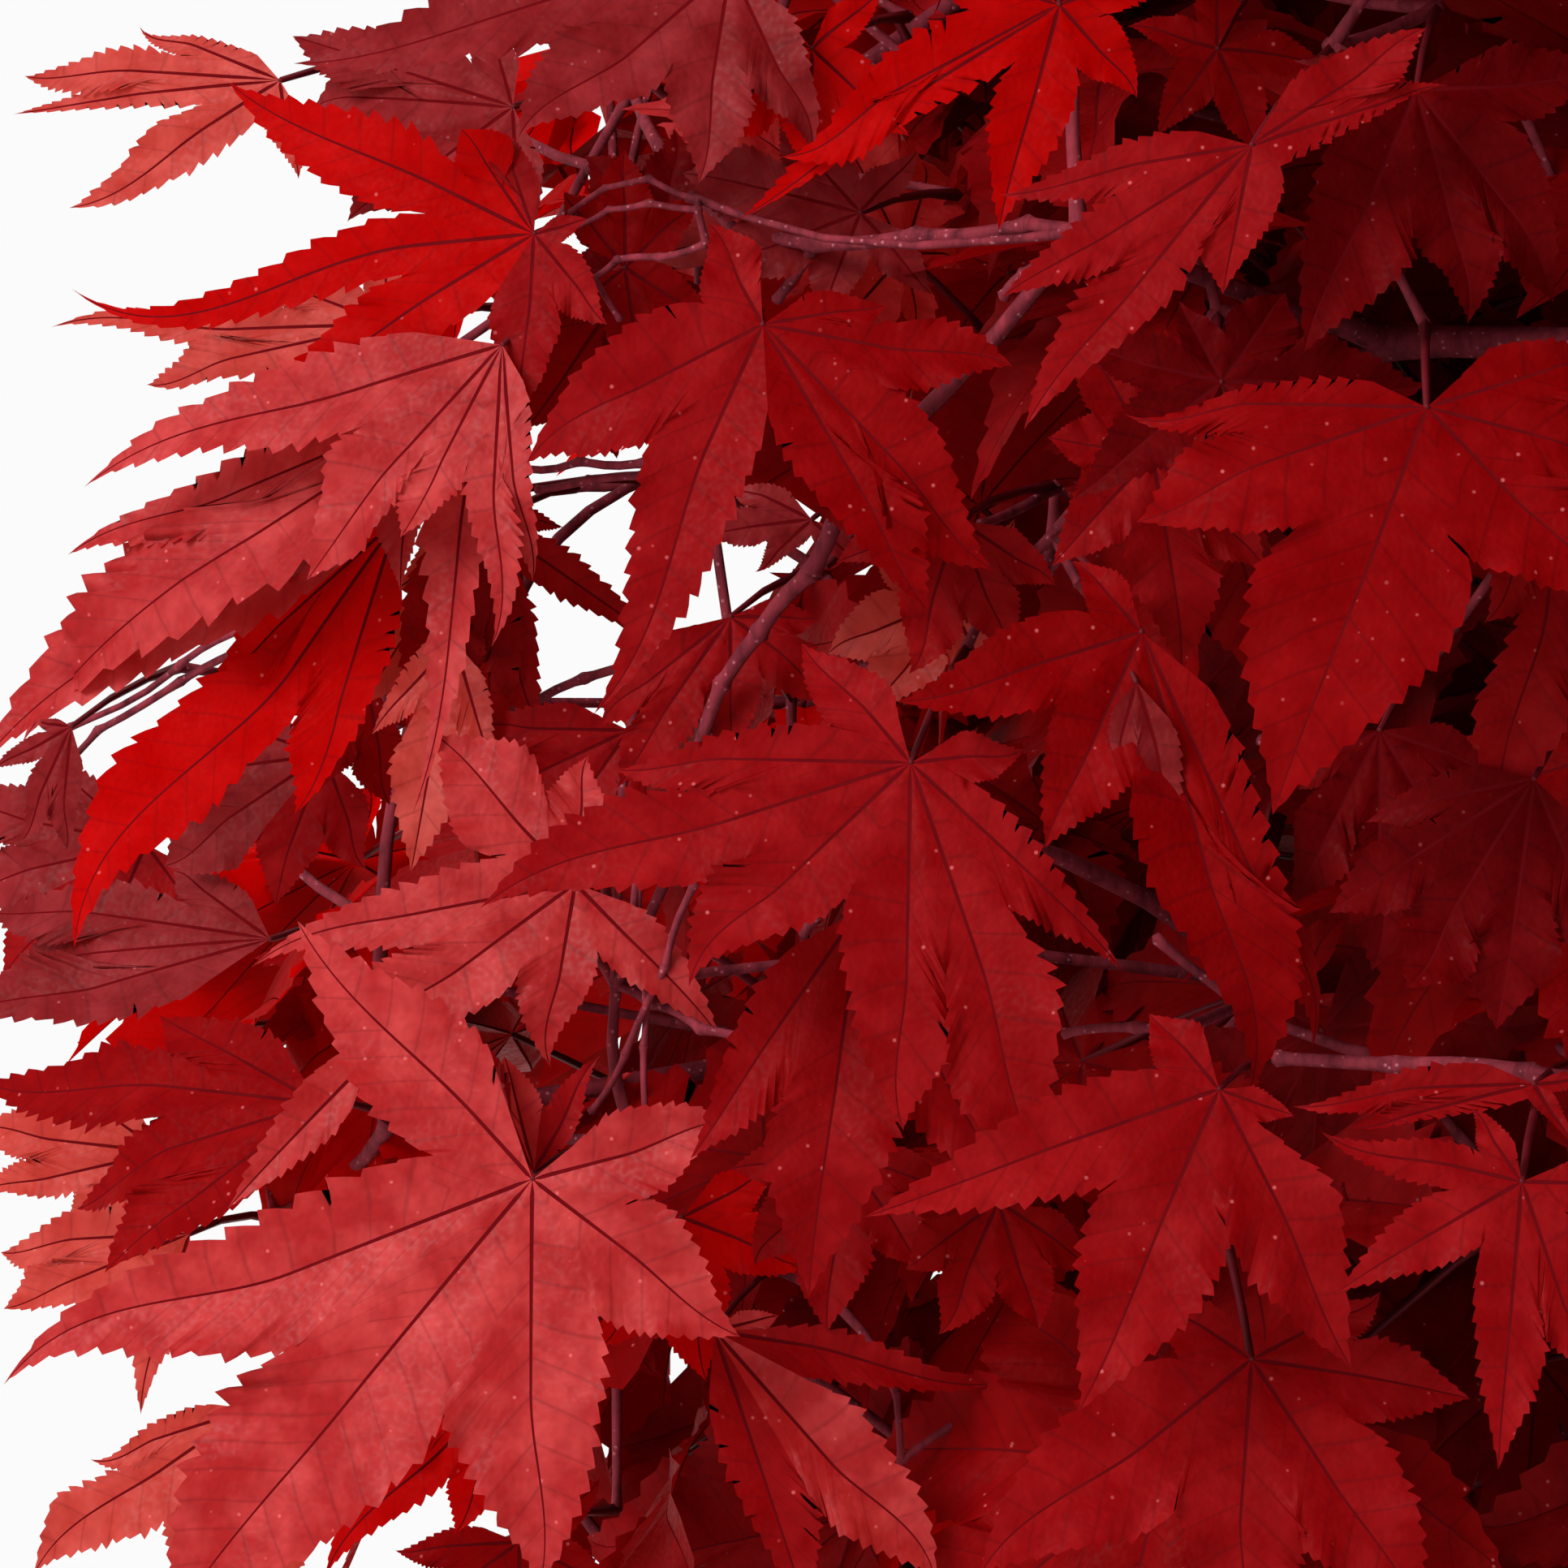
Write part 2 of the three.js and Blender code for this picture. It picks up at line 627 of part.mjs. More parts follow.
const bonsai = new THREE.Group();
bonsai.name = "maple_bonsai";
bonsai.add(meshOf("pot", potSolid(), MATERIALS.glaze));
bonsai.add(meshOf("soil", soilSolid(), MATERIALS.soil));

const trunk = trunkSolid(0);
bonsai.add(meshOf("trunk", trunk, MATERIALS.bark));

const grownTrunk = trunkSolid(CLEARANCE);
const grownLimbs = [trunkSolid(LIMB_MARGIN)];
for (const mass of masses) {
  if (!mass.bough) {
    mass.tip = trunkLine.getPoint(1);
    mass.heading = UP;
    mass.stemRadius = TRUNK_TIP_RADIUS - STEM_INSET;
    continue;
  }
  const line = boughLine(mass);
  const bough = largestPiece(boughSolid(mass, line, 0).subtract(grownTrunk));
  bonsai.add(meshOf(`bough_${mass.name}`, bough, MATERIALS.bark));
  grownLimbs.push(boughSolid(mass, line, LIMB_MARGIN));
  mass.tip = mass.bough.tip;
  mass.heading = line.getTangentAt(1);
  mass.stemRadius = mass.bough.tipRadius - STEM_INSET;
}

const limbs = wasm.Manifold.union(grownLimbs);
for (const mass of masses) {
  bonsai.add(meshOf(`leaves_${mass.name}`, massSolid(mass, limbs), MATERIALS.leaf));
}

export default bonsai;
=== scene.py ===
"""A maple bonsai in red autumn leaf, in a plain oval pot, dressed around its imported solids.

Sizes are in millimetres until a mesh is written, +Z is up, and the tree's front faces -Y. The camera looks at
the left flank of the crown, where the leaves of the foremost sprays are laid out one by one.
"""

import itertools
import logging
import math
from collections.abc import Sequence
from dataclasses import dataclass, field
from enum import Enum
from typing import NamedTuple

import bpy
import numpy as np
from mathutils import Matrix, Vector


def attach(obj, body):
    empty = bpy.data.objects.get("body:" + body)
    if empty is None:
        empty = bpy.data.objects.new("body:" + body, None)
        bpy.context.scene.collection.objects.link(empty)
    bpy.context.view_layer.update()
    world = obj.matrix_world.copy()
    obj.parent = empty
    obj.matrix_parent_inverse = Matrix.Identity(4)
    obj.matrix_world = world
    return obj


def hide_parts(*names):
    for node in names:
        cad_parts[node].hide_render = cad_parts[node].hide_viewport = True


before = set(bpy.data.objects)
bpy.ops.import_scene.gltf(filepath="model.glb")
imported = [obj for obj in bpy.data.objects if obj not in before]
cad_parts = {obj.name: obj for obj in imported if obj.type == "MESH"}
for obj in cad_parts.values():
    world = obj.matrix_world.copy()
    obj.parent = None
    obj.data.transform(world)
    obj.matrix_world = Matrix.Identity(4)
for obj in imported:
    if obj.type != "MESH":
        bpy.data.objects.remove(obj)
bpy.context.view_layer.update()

Array = np.ndarray
Node = bpy.types.Node
Tree = bpy.types.NodeTree
Pixel = tuple[float, float]
# A foremost twig: its places from the tree outwards, and the radii of its ends.
Chain = tuple[list[Array], tuple[float, float]]

MM = 0.001
TAU = 2 * math.pi
UP = np.array([0.0, 0.0, 1.0])
MASK = 0xFFFFFFFF
DRAW_STEP = 0x6D2B79F5

log = logging.getLogger("maple_bonsai")


# Numbers, curves and noise


def draws(seed: int, count: int, skip: int = 0) -> Array:
    """The source's row of numbers from 0 to 1: a counter times a fixed step, mixed by products and shifts.

    Args:
        seed: where the row starts.
        count: how many numbers.
        skip: how many numbers of the row are passed over first.

    Returns:
        The numbers, the same for the same seed.
    """
    steps = np.arange(skip + 1, skip + count + 1, dtype=np.uint64)
    state = (np.uint64(seed) + steps * np.uint64(DRAW_STEP)) & np.uint64(MASK)
    mixed = ((state ^ (state >> np.uint64(15))) * (state | np.uint64(1))) & np.uint64(MASK)
    other = ((mixed ^ (mixed >> np.uint64(7))) * (mixed | np.uint64(61))) & np.uint64(MASK)
    mixed ^= (mixed + other) & np.uint64(MASK)
    return ((mixed ^ (mixed >> np.uint64(14))) & np.uint64(MASK)).astype(float) / (MASK + 1)


def unit(vectors: Array) -> Array:
    """Vectors scaled to length 1."""
    return vectors / np.maximum(np.linalg.norm(vectors, axis=-1, keepdims=True), 1e-9)


def hashed(cells: Array, seed: int) -> Array:
    """A number from 0 to 1 for each whole-number cell: its coordinates times primes, mixed by shifts."""
    primes = np.array([73856093, 19349663, 83492791], dtype=np.int64)[: cells.shape[-1]]
    key = ((cells * primes).sum(-1) + seed * 2654435761) & MASK
    key = ((key ^ (key >> 15)) * 2246822519) & MASK
    key = ((key ^ (key >> 13)) * 3266489917) & MASK
    return (key ^ (key >> 16)).astype(float) / MASK


def lattice_noise(points: Array, seed: int) -> Array:
    """Smooth noise from -1 to 1: a random value at each whole-number corner, blended by smooth steps.

    Args:
        points: places, with one unit as the grain of the noise.
        seed: which noise.

    Returns:
        One value for each place.
    """
    cell = np.floor(points).astype(np.int64)
    share = points - cell
    blend = share * share * (3 - 2 * share)
    total = np.zeros(points.shape[:-1])
    for corner in itertools.product((0, 1), repeat=points.shape[-1]):
        offset = np.array(corner)
        weight = np.where(offset == 1, blend, 1 - blend).prod(-1)
        total += weight * hashed(cell + offset, seed)
    return 2 * total - 1


def grain_bumps(places: Array, seed: int, radius: float = 0.75) -> Array:
    """Round grains on a plane: the height of a ball cap about the nearest of one jittered point in each cell.

    Args:
        places: points in the plane, with one unit as the size of a cell.
        seed: which grains.
        radius: a grain's radius in the same unit.

    Returns:
        The height from 0 to 1.
    """
    cell = np.floor(places).astype(np.int64)
    nearest = np.full(places.shape[:-1], np.inf)
    for step in itertools.product((-1, 0, 1), repeat=2):
        near = cell + np.array(step)
        spot = near + 0.2 + 0.6 * np.stack([hashed(near, seed), hashed(near, seed + 1)], axis=-1)
        nearest = np.minimum(nearest, np.linalg.norm(places - spot, axis=-1))
    return np.sqrt(np.clip(1 - (nearest / radius) ** 2, 0, 1))


def arc(start: Array, corner: Array, end: Array, share: Array) -> Array:
    """Places on the curve from start to end that is drawn towards a corner, at shares of the way."""
    return (1 - share) ** 2 * start + 2 * share * (1 - share) * corner + share**2 * end


def level_ring(sides: int) -> Array:
    """Places round the unit circle in the level plane: the cosine and sine of even turns."""
    turn = np.arange(sides) * TAU / sides
    return np.stack([np.cos(turn), np.sin(turn), np.zeros(sides)], axis=-1)


def rings(first: Array, second: Array, sides: int) -> Array:
    """Unit circles, one for each pair of directions: cosine along the first, sine along the second."""
    turn = (np.arange(sides) * TAU / sides)[None, :, None]
    return np.cos(turn) * first[:, None] + np.sin(turn) * second[:, None]


@dataclass(frozen=True)
class SmoothLine:
    """A smooth line through points: cubics whose speed follows the square root of the points' spacing."""

    points: Array

    def at(self, shares: Array) -> Array:
        """Places on the line, with the same share of the way for each stretch between points."""
        first = 2 * self.points[0] - self.points[1]
        last = 2 * self.points[-1] - self.points[-2]
        around = np.vstack([first, self.points, last])
        gaps = np.sqrt(np.linalg.norm(np.diff(around, axis=0), axis=1))
        along = np.clip(shares, 0, 1) * (len(self.points) - 1)
        k = np.minimum(along.astype(int), len(self.points) - 2)
        t = (along - k)[:, None]
        x0, x1, x2, x3 = (around[k + i] for i in range(4))
        d0, d1, d2 = (gaps[k + i][:, None] for i in range(3))
        t1 = ((x1 - x0) / d0 - (x2 - x0) / (d0 + d1) + (x2 - x1) / d1) * d1
        t2 = ((x2 - x1) / d1 - (x3 - x1) / (d1 + d2) + (x3 - x2) / d2) * d1
        return x1 + t1 * t + (-3 * x1 + 3 * x2 - 2 * t1 - t2) * t**2 + (2 * x1 - 2 * x2 + t1 + t2) * t**3

    def spaced(self, count: int, steps: int = 401) -> Array:
        """Places at even lengths along the line, worked out from a walk in fine steps."""
        walk = self.at(np.linspace(0, 1, steps))
        length = np.concatenate([[0], np.cumsum(np.linalg.norm(np.diff(walk, axis=0), axis=1))])
        wanted = np.linspace(0, length[-1], count)
        return np.stack([np.interp(wanted, length, walk[:, i]) for i in range(3)], axis=1)


# Meshes


@dataclass
class Faces:
    """Corners and triangles, with each triangle's material slot.

    Leaves also have each corner's place on their own surface map, and each triangle's lobe.
    """

    corners: Array
    triangles: Array
    slots: Array
    spots: Array | None = None
    lobes: Array | None = None

    def only(self, which: Array) -> "Faces":
        """The triangles that a mask picks out, with just their own corners."""
        used, number = np.unique(self.triangles[which], return_inverse=True)
        spots = None if self.spots is None else self.spots[used]
        return Faces(self.corners[used], number.reshape(-1, 3), self.slots[which], spots)

    @staticmethod
    def joined(parts: "Sequence[Faces]") -> "Faces":
        """Several sets of faces as one, with their triangles renumbered."""
        starts = np.cumsum([0] + [len(part.corners) for part in parts[:-1]])
        spots = [part.spots if part.spots is not None else np.zeros((len(part.corners), 2)) for part in parts]
        return Faces(
            np.concatenate([part.corners for part in parts]),
            np.concatenate([part.triangles + start for part, start in zip(parts, starts)]),
            np.concatenate([part.slots for part in parts]),
            np.concatenate(spots),
        )

    def as_object(self, name: str, materials: Sequence[bpy.types.Material]) -> bpy.types.Object:
        """Writes the faces into a mesh in metres and links its object at the origin.

        Args:
            name: the piece's name.
            materials: its finishes, in the order of the slots.

        Returns:
            The new object.
        """
        mesh = bpy.data.meshes.new(name)
        mesh.vertices.add(len(self.corners))
        mesh.vertices.foreach_set("co", (self.corners * MM).astype(np.float32).ravel())
        mesh.loops.add(3 * len(self.triangles))
        mesh.loops.foreach_set("vertex_index", self.triangles.astype(np.int32).ravel())
        mesh.polygons.add(len(self.triangles))
        mesh.polygons.foreach_set("loop_start", np.arange(0, 3 * len(self.triangles), 3, dtype=np.int32))
        mesh.polygons.foreach_set("material_index", self.slots.astype(np.int32))
        mesh.polygons.foreach_set("use_smooth", np.ones(len(self.triangles), dtype=bool))
        if self.spots is not None:
            layer = mesh.uv_layers.new(name="surface")
            layer.data.foreach_set("uv", self.spots[self.triangles.ravel()].astype(np.float32).ravel())
        for material in materials:
            mesh.materials.append(material)
        mesh.update(calc_edges=True)
        mesh.validate()
        made = bpy.data.objects.new(name, mesh)
        bpy.context.scene.collection.objects.link(made)
        return made


def grid_faces(places: Array, flipped: bool = False) -> Faces:
    """A grid of places as triangles: two for each cell, with the last column joined to the first.

    Args:
        places: rows by columns by 3.
        flipped: whether the faces are turned over.

    Returns:
        The faces. A row that lies in one point closes the end.
    """
    rows, columns = places.shape[:2]
    row, column = np.meshgrid(np.arange(rows - 1), np.arange(columns), indexing="ij")
    after = (column + 1) % columns
    a, b = row * columns + column, (row + 1) * columns + column
    c, d = (row + 1) * columns + after, row * columns + after
    triangles = np.concatenate([np.stack(three, -1).reshape(-1, 3) for three in ([a, b, c], [a, c, d])])
    if flipped:
        triangles = triangles[:, ::-1]
    return Faces(places.reshape(-1, 3), triangles, np.zeros(len(triangles), int))


def tube_faces(lines: Array, radii: Array, sides: int) -> Faces:
    """Round rods along lines: each ring is its middle plus the radius times a unit circle across the line.

    Args:
        lines: rods by rings by 3, the middle of each ring.
        radii: rods by rings.
        sides: corners in a ring.

    Returns:
        The faces, closed by a point a little beyond each end.
    """
    rods, count = radii.shape
    run = unit(lines[:, -1] - lines[:, 0])
    aside = np.where(np.abs(run[:, 2:]) < 0.8, UP, np.array([1.0, 0, 0]))
    first = unit(np.cross(run, aside))
    ring = rings(first, np.cross(run, first), sides)
    skin = lines[:, :, None] + radii[:, :, None, None] * ring[:, None]
    foot, tip = lines[:, 0] - run * radii[:, :1] * 0.6, lines[:, -1] + run * radii[:, -1:] * 0.6
    corners = np.concatenate([skin.reshape(rods, -1, 3), np.stack([foot, tip], axis=1)], axis=1)
    row, side = (part.ravel() for part in np.meshgrid(np.arange(count - 1), np.arange(sides), indexing="ij"))
    after = (side + 1) % sides
    a, b, c, d = row * sides + side, row * sides + after, (row + 1) * sides + after, (row + 1) * sides + side
    lone = np.arange(sides)
    beyond = (lone + 1) % sides
    top = (count - 1) * sides
    ends = np.full(sides, count * sides)
    threes = ([a, b, c], [a, c, d], [ends, beyond, lone], [ends + 1, top + lone, top + beyond])
    one = np.concatenate([np.stack(three, -1) for three in threes])
    triangles = (one[None] + np.arange(rods)[:, None, None] * corners.shape[1]).reshape(-1, 3)
    return Faces(corners.reshape(-1, 3), triangles, np.zeros(len(triangles), int))


# Finishes


def linear(colour: str) -> tuple[float, float, float, float]:
    """An sRGB hex value as linear red, green, blue and 1."""
    parts = [int(colour[i : i + 2], 16) / 255 for i in (1, 3, 5)]
    made = [x / 12.92 if x <= 0.04045 else ((x + 0.055) / 1.055) ** 2.4 for x in parts]
    return made[0], made[1], made[2], 1.0


def add_node(tree: Tree, kind: str, inputs: dict[str | int, object], **settings: object) -> Node:
    """Adds a node, sets its options, and sets or links its inputs.

    Args:
        tree: the material's nodes.
        kind: the node's type, without the word that all shader nodes start with.
        inputs: for each input, a value, another node's output, or a node, for its first output in use.
        settings: the node's own options.

    Returns:
        The new node.
    """
    node = tree.nodes.new(f"ShaderNode{kind}")
    for name, value in settings.items():
        setattr(node, name, value)
    for name, value in inputs.items():
        if isinstance(value, Node):
            value = next(output for output in value.outputs if output.enabled)
        if isinstance(value, bpy.types.NodeSocket):
            tree.links.new(value, node.inputs[name])
        else:
            node.inputs[name].default_value = value
    return node


@dataclass(frozen=True)
class Finish:
    """A finish by its name. Each kind of surface adds its own shader."""

    name: str

    def shader(self, tree: Tree) -> Node:
        """Adds the nodes that give a surface its look, and returns the last of them."""
        raise NotImplementedError

    def material(self) -> bpy.types.Material:
        """Builds the finish as a material."""
        material = bpy.data.materials.new(self.name)
        material.use_nodes = True
        tree = material.node_tree
        tree.nodes.clear()
        add_node(tree, "OutputMaterial", {"Surface": self.shader(tree)})
        return material


@dataclass(frozen=True)
class LeafBlade(Finish):
    """A maple leaf in autumn: a thin matt blade with a bloom and side veins, and light that comes through."""

    colour: str
    bloom: str
    glow: str
    through: float
    gloss: float
    vein: str = "#3a060b"
    speck: str = "#d2686a"
    vein_share: float = 0.3
    speck_share: float = 0.55

    def _marked(self, tree: Tree, place: Node, blade: Node) -> Node:
        """Draws the side veins, the net between them and pale specks on the blade's colour.

        Args:
            tree: the material's nodes.
            place: the coordinates.
            blade: the colour without marks.

        Returns:
            The colour with its marks.
        """
        # The side veins follow the blade's own map, 3.5 mm apart, which is 0.35 of its unit of a centimetre.
        wave = {"Vector": place.outputs["UV"], "Scale": 0.9, "Distortion": 2.2, "Detail": 1.0}
        bands = add_node(tree, "TexWave", wave, bands_direction="X")
        crests = {"Value": bands.outputs["Fac"], "From Min": 0.965, "To Max": self.vein_share}
        line = add_node(tree, "MapRange", crests)
        # The net is 1.2 mm across, and one in seven of its cells has a speck 0.3 mm across.
        cells = add_node(tree, "TexVoronoi", {"Vector": place.outputs["Object"], "Scale": 830.0})
        borders = {"Value": cells, "From Min": 0.4, "From Max": 0.75, "To Max": 0.4 * self.vein_share}
        net = add_node(tree, "MapRange", borders)
        hearts = {"Value": cells, "From Min": 0.07, "From Max": 0.18, "To Min": self.speck_share, "To Max": 0}
        dot = add_node(tree, "MapRange", hearts)
        each = add_node(tree, "SeparateColor", {"Color": cells.outputs["Color"]})
        some = add_node(tree, "MapRange", {"Value": each, "From Min": 0.84, "From Max": 0.88})
        speck = add_node(tree, "Math", {0: dot, 1: some}, operation="MULTIPLY")
        colour = blade
        for share, mark in ((net, self.vein), (line, self.vein), (speck, self.speck)):
            colour = add_node(tree, "Mix", {0: share, 6: colour, 7: linear(mark)}, data_type="RGBA")
        return colour

    def shader(self, tree: Tree) -> Node:
        """A plain red, mottled by its bloom, with its marks, and bumps from the blade's cells."""
        # Mottling is 6 mm across, and the cells that roughen the blade 0.5 mm.
        place = add_node(tree, "TexCoord", {})
        spot = place.outputs["Object"]
        noise = {"Vector": spot, "Scale": 160.0, "Detail": 3.0, "Roughness": 0.65}
        mottle = add_node(tree, "TexNoise", noise)
        patches = {"Value": mottle, "From Min": 0.4, "From Max": 0.75, "To Max": 0.9}
        share = add_node(tree, "MapRange", patches)
        reds = {0: share, 6: linear(self.colour), 7: linear(self.bloom)}
        colour = self._marked(tree, place, add_node(tree, "Mix", reds, data_type="RGBA"))
        fine = add_node(tree, "TexNoise", {"Vector": spot, "Scale": 1900.0, "Detail": 0.0})
        matt = {"Value": fine, "From Min": 0.3, "From Max": 0.7, "To Min": 0.45, "To Max": 0.65}
        rough = add_node(tree, "MapRange", matt)
        grain = add_node(tree, "Bump", {"Height": fine, "Strength": 0.3, "Distance": 0.2 * MM})
        look = {"Base Color": colour, "Roughness": rough, "Normal": grain, "Specular IOR Level": self.gloss}
        blade = add_node(tree, "BsdfPrincipled", look)
        light = add_node(tree, "BsdfTranslucent", {"Color": linear(self.glow)})
        return add_node(tree, "MixShader", {0: self.through, 1: blade, 2: light})


@dataclass(frozen=True)
class Vein(Finish):
    """The main veins and leaf stalks: smooth, firm and darker than the blade, purple to wine red."""

    colour: str
    shade: str
    gloss: float

    def shader(self, tree: Tree) -> Node:
        """Two close reds in streaks 3 mm long, with a soft gloss."""
        spot = add_node(tree, "TexCoord", {}).outputs["Object"]
        streak = add_node(tree, "TexNoise", {"Vector": spot, "Scale": 330.0})
        reds = {0: streak, 6: linear(self.colour), 7: linear(self.shade)}
        colour = add_node(tree, "Mix", reds, data_type="RGBA")
        rough = add_node(tree, "MapRange", {"Value": streak, "To Min": 0.38, "To Max": 0.6})
        look = {"Base Color": colour, "Roughness": rough, "Specular IOR Level": self.gloss}
        return add_node(tree, "BsdfPrincipled", look)


@dataclass(frozen=True)
class Bark(Finish):
    """Maple bark: smooth and thin, with fine cracks along the wood and small pale pores."""

    colour: str
    shade: str
    pores: str
    crack_mm: float
    bump_mm: float
    gloss: float = 0.3

    def shader(self, tree: Tree) -> Node:
        """Two browns in long streaks, pores as pale dots, and cracks as bumps."""
        spot = add_node(tree, "TexCoord", {}).outputs["Object"]
        scale = 1000 / self.crack_mm
        along = add_node(tree, "Mapping", {"Vector": spot, "Scale": (1.0, 1.0, 0.35)})
        noise = {"Vector": along, "Scale": scale, "Detail": 6.0, "Roughness": 0.65}
        streak = add_node(tree, "TexNoise", noise)
        share = add_node(tree, "MapRange", {"Value": streak, "From Min": 0.3, "From Max": 0.7})
        browns = {0: share, 6: linear(self.shade), 7: linear(self.colour)}
        wood = add_node(tree, "Mix", browns, data_type="RGBA")
        spots = add_node(tree, "TexVoronoi", {"Vector": spot, "Scale": scale * 1.6})
        hearts = {"Value": spots, "From Min": 0.1, "From Max": 0.2, "To Min": 0.7, "To Max": 0.0}
        dots = add_node(tree, "MapRange", hearts)
        colour = add_node(tree, "Mix", {0: dots, 6: wood, 7: linear(self.pores)}, data_type="RGBA")
        rough = add_node(tree, "MapRange", {"Value": streak, "To Min": 0.6, "To Max": 0.9})
        bump = add_node(tree, "Bump", {"Height": streak, "Strength": 0.6, "Distance": self.bump_mm * MM})
        look = {"Base Color": colour, "Roughness": rough, "Normal": bump, "Specular IOR Level": self.gloss}
        return add_node(tree, "BsdfPrincipled", look)


@dataclass(frozen=True)
class Glaze(Finish):
    """Stoneware under a blue-grey glaze: glossy, a little uneven, and broken by small iron specks."""

    name: str = "glazed_stoneware"
    colour: str = "#4b5a66"
    thin: str = "#6f7b80"
    speck: str = "#2c2620"
    coat: float = 0.4

    def shader(self, tree: Tree) -> Node:
        """Clouds 30 mm across of thick and thin glaze, 1 mm specks 4 mm apart, and a faint orange peel."""
        spot = add_node(tree, "TexCoord", {}).outputs["Object"]
        cloud = add_node(tree, "TexNoise", {"Vector": spot, "Scale": 34.0, "Detail": 5.0})
        blues = {0: cloud, 6: linear(self.colour), 7: linear(self.thin)}
        base = add_node(tree, "Mix", blues, data_type="RGBA")
        spots = add_node(tree, "TexVoronoi", {"Vector": spot, "Scale": 260.0})
        hearts = {"Value": spots, "From Min": 0.12, "From Max": 0.2, "To Min": 0.8, "To Max": 0.0}
        dots = add_node(tree, "MapRange", hearts)
        colour = add_node(tree, "Mix", {0: dots, 6: base, 7: linear(self.speck)}, data_type="RGBA")
        rough = add_node(tree, "MapRange", {"Value": cloud, "To Min": 0.16, "To Max": 0.36})
        peel = add_node(tree, "TexNoise", {"Vector": spot, "Scale": 160.0})
        bump = add_node(tree, "Bump", {"Height": peel, "Strength": 0.2, "Distance": 0.6 * MM})
        look = {"Base Color": colour, "Roughness": rough, "Normal": bump}
        return add_node(tree, "BsdfPrincipled", look | {"Coat Weight": self.coat, "Coat Roughness": 0.12})


@dataclass(frozen=True)
class Grit(Finish):
    """A dull mineral surface, such as bare fired clay or soil grains: rough, dusty, and mixed in colour."""

    colour: str
    shade: str
    pale: str
    grain_mm: float

    def shader(self, tree: Tree) -> Node:
        """Each grain in its own mix of three earth colours, with a rough broken surface."""
        spot = add_node(tree, "TexCoord", {}).outputs["Object"]
        scale = 1000 / self.grain_mm
        grains = add_node(tree, "TexVoronoi", {"Vector": spot, "Scale": scale})
        each = add_node(tree, "SeparateColor", {"Color": grains.outputs["Color"]})
        earths = {0: each, 6: linear(self.colour), 7: linear(self.shade)}
        dark = add_node(tree, "Mix", earths, data_type="RGBA")
        few = {"Value": each.outputs["Green"], "From Min": 0.72, "From Max": 0.95, "To Max": 0.8}
        some = add_node(tree, "MapRange", few)
        colour = add_node(tree, "Mix", {0: some, 6: dark, 7: linear(self.pale)}, data_type="RGBA")
        fine = add_node(tree, "TexNoise", {"Vector": spot, "Scale": scale * 2.5, "Detail": 4.0})
        bump = add_node(tree, "Bump", {"Height": fine, "Strength": 0.6, "Distance": 0.8 * MM})
        rough = add_node(tree, "MapRange", {"Value": fine, "To Min": 0.8, "To Max": 1.0})
        return add_node(tree, "BsdfPrincipled", {"Base Color": colour, "Roughness": rough, "Normal": bump})


@dataclass(frozen=True)
class Paint(Finish):
    """A plain matt surface."""

    colour: str
    roughness: float

    def shader(self, tree: Tree) -> Node:
        """One colour, the same all over."""
        look = {"Base Color": linear(self.colour), "Roughness": self.roughness}
        return add_node(tree, "BsdfPrincipled", look)


class Tint(Enum):
    """The leaf reds that are dealt out by spray, from the palest front leaves to the darkest inside. Besides
    the leaves' own red they carry painted light and shade: the pale and milky reds are lit copies, pinker
    with painted sheen, for leaves where the light falls, and the deep and wine reds are shaded copies for
    leaves in shade.
    """

    MILKY = LeafBlade("leaf_milky_red", "#8d1114", "#b43a3a", "#c81a12", 0.3, 0.14)
    PALE = LeafBlade("leaf_pale_red", "#9a2822", "#ba4c45", "#dc3c28", 0.4, 0.14)
    DUSKY = LeafBlade("leaf_dusky_red", "#680a0e", "#882428", "#981214", 0.3, 0.08, "#2a060a", "#a85a5c")
    BRIGHT = LeafBlade("leaf_bright_red", "#920000", "#a60a0a", "#e60101", 0.4, 0.015)
    CARMINE = LeafBlade("leaf_carmine", "#720104", "#8a1013", "#a40406", 0.28, 0.035)
    DEEP = LeafBlade("leaf_deep_red", "#6c0002", "#80080a", "#a40102", 0.27, 0.02, "#2c0308")
    WINE = LeafBlade("leaf_wine_red", "#4e0002", "#620609", "#740102", 0.2, 0.02, "#1c0205", "#8c3c40")


# The plan of the tree, by the rule that its solids are made by


@dataclass(frozen=True)
class Crown:
    """The crown's outline: half an ellipsoid above its widest level and a shallower half below it."""

    level: float = 330
    half_length: float = 262
    half_width: float = 234
    rise: float = 232
    drop: float = 160

    def _scaled(self, points: Array, power: float) -> Array:
        """Places from the crown's middle, divided by its half sizes to a power."""
        above = points[..., 2] - self.level
        height = np.where(above > 0, self.rise, self.drop)
        return np.stack(
            [
                points[..., 0] / self.half_length**power,
                points[..., 1] / self.half_width**power,
                above / height**power,
            ],
            axis=-1,
        )

    def share(self, points: Array) -> Array:
        """Each point's share of the way from the crown's middle to its outline."""
        return np.linalg.norm(self._scaled(points, 1), axis=-1)

    def outwards(self, points: Array) -> Array:
        """The way out of the crown at each point, square to its outline."""
        return unit(self._scaled(points, 2))


@dataclass
class Mass:
    """A mass of foliage: its name, seed and centre, and the end of the limb that carries it."""

    name: str
    seed: int
    centre: Array
    tip: Array
    stem_radius: float
    line: SmoothLine | None = None
    foot_radius: float = 0.0
    tip_radius: float = 0.0


@dataclass(frozen=True)
class Tier:
    """A tier of boughs: how many, the first azimuth, the masses' height and reach, and the boughs' ends."""

    name: str
    count: int
    first: float
    centre_z: float
    reach: float
    leave_z: float
    step_z: float
    tip_z: float
    foot: float
    tip: float


